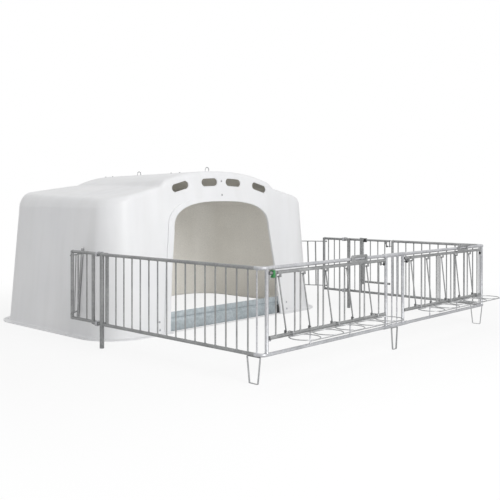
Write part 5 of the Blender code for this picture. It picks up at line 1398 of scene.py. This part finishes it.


# A ribbed pull knob with a domed end; its stem runs into it.
def knobForm(middle, way):
    start, long, wide = 0.0128, 0.020, 0.0125
    profile = [(start, wide * 0.78), (start + 0.0008, wide * 0.84), (start + 0.003, wide * 0.84),
               (start + 0.0045, wide * 0.97), (start + 0.0065, wide),
               (start + 0.0135, wide), (start + 0.0165, wide * 0.93), (start + 0.0188, wide * 0.72),
               (start + long, wide * 0.35)]
    return laid(turned(profile, 24), middle, middle + way)


def makeTrim():
    plug = smallForm("railPlug", spot(-gate["inner"], 0, gate["top"]), spot(9, 0, gate["top"]))
    finishPiece("left_gate_plug", [plug])
    finishPiece("left_gate_clip", [softened("left_gate_clip", 0.0028, 3)])
    low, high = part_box("right_hinge_cap")
    tall, middle = high.z - low.z, (low + high) / 2
    cap = turned([(0, 0.0108), (0.0015, 0.0125), (0.003, 0.013), (tall - 0.002, 0.013), (tall, 0.0118)], 24)
    finishPiece("right_hinge_cap", [laid(cap, (middle.x, middle.y, low.z), (middle.x, middle.y, 9))])


def makeManDoor():
    door, x = manDoor, pen["half"]
    top, low = pen["top"], manDoor["low"]
    stileLow, stileHigh = low - door["stileFoot"], top + door["stileHead"]
    parts = [tube(spot(x, door["start"], z), spot(x, door["hinge"] - 0.004, z), door["rail"], deep=0.008)
             for z in (top, low)]
    parts += [bar(spot(x, y, low), spot(x, y, top), pen["bar"], door["rail"], door["rail"])
              for y in door["bars"]]
    stile = bar(spot(x, door["hinge"], stileLow), spot(x, door["hinge"], stileHigh), door["stile"])
    bore = door["pin"] + gate["run"]
    for z0, z1 in ((stileLow - 0.01, stileLow + door["pinLong"]),
                   (stileHigh - door["pinLong"], stileHigh + 0.01)):
        bored(stile, bore, spot(x, door["hinge"], z0), spot(x, door["hinge"], 9), z1 - z0, 18)
    parts.append(stile)
    for z in (top, low):
        parts.append(railSeam(x, door["hinge"] - door["stile"] + 0.002, z, door["rail"], (0, -1, 0)))
    for y in door["guides"]:
        parts.append(guidePlate(top, door["boltZ"],
                                Matrix.Translation(spot(x, y, 0)) @ Matrix.Rotation(math.pi / 2, 4, "X")))
    loopX = x + pen["post"] / math.cos(math.pi / 8) + gate["run"] + door["loopRod"] / math.cos(math.pi / 6)
    first = door["bars"][0]
    line = [spot(x, first, door["loopLow"]), spot(loopX, first, door["loopLow"] + 0.006),
            spot(loopX, first, door["loopTop"]),
            spot(loopX, door["loopEnd"], door["loopTop"]), spot(loopX, door["loopEnd"], door["loopLow"])]
    bends = [line[0]] + rounded(line[:3], 0.006)[1:-1] + rounded(line[1:], 0.02)[1:]
    parts.append(bentRod(bends, door["loopRod"]))
    finishPiece("man_door", parts)
    tip = rightSide["latchPost"] + pen["post"] + gate["run"]
    y, z = door["knobY"], door["boltZ"]
    finishPiece("man_door_bolt", [latchRod(door["boltBack"] - tip, spot(x, tip, z), spot(x, 9, z)),
                                  knobStem(spot(x + 0.001, y, z), spot(-9, y, z))])
    finishPiece("man_door_knob", [knobForm(spot(x, y, z), Vector((-1, 0, 0)))])
    finishPiece("man_door_block", [softened("man_door_block", 0.0028, 3)])


makeGate(-1, "left")
makeGate(1, "right")
makeTrim()
makeManDoor()
print("gates, racks, latches and man door")

# CAD nodes that are still shown take their slot's finish.
for name, node in frame["nodes"].items():
    if not node.hide_render:
        node.data.materials.clear()
        node.data.materials.append(finishes[slotOfNode[name]])
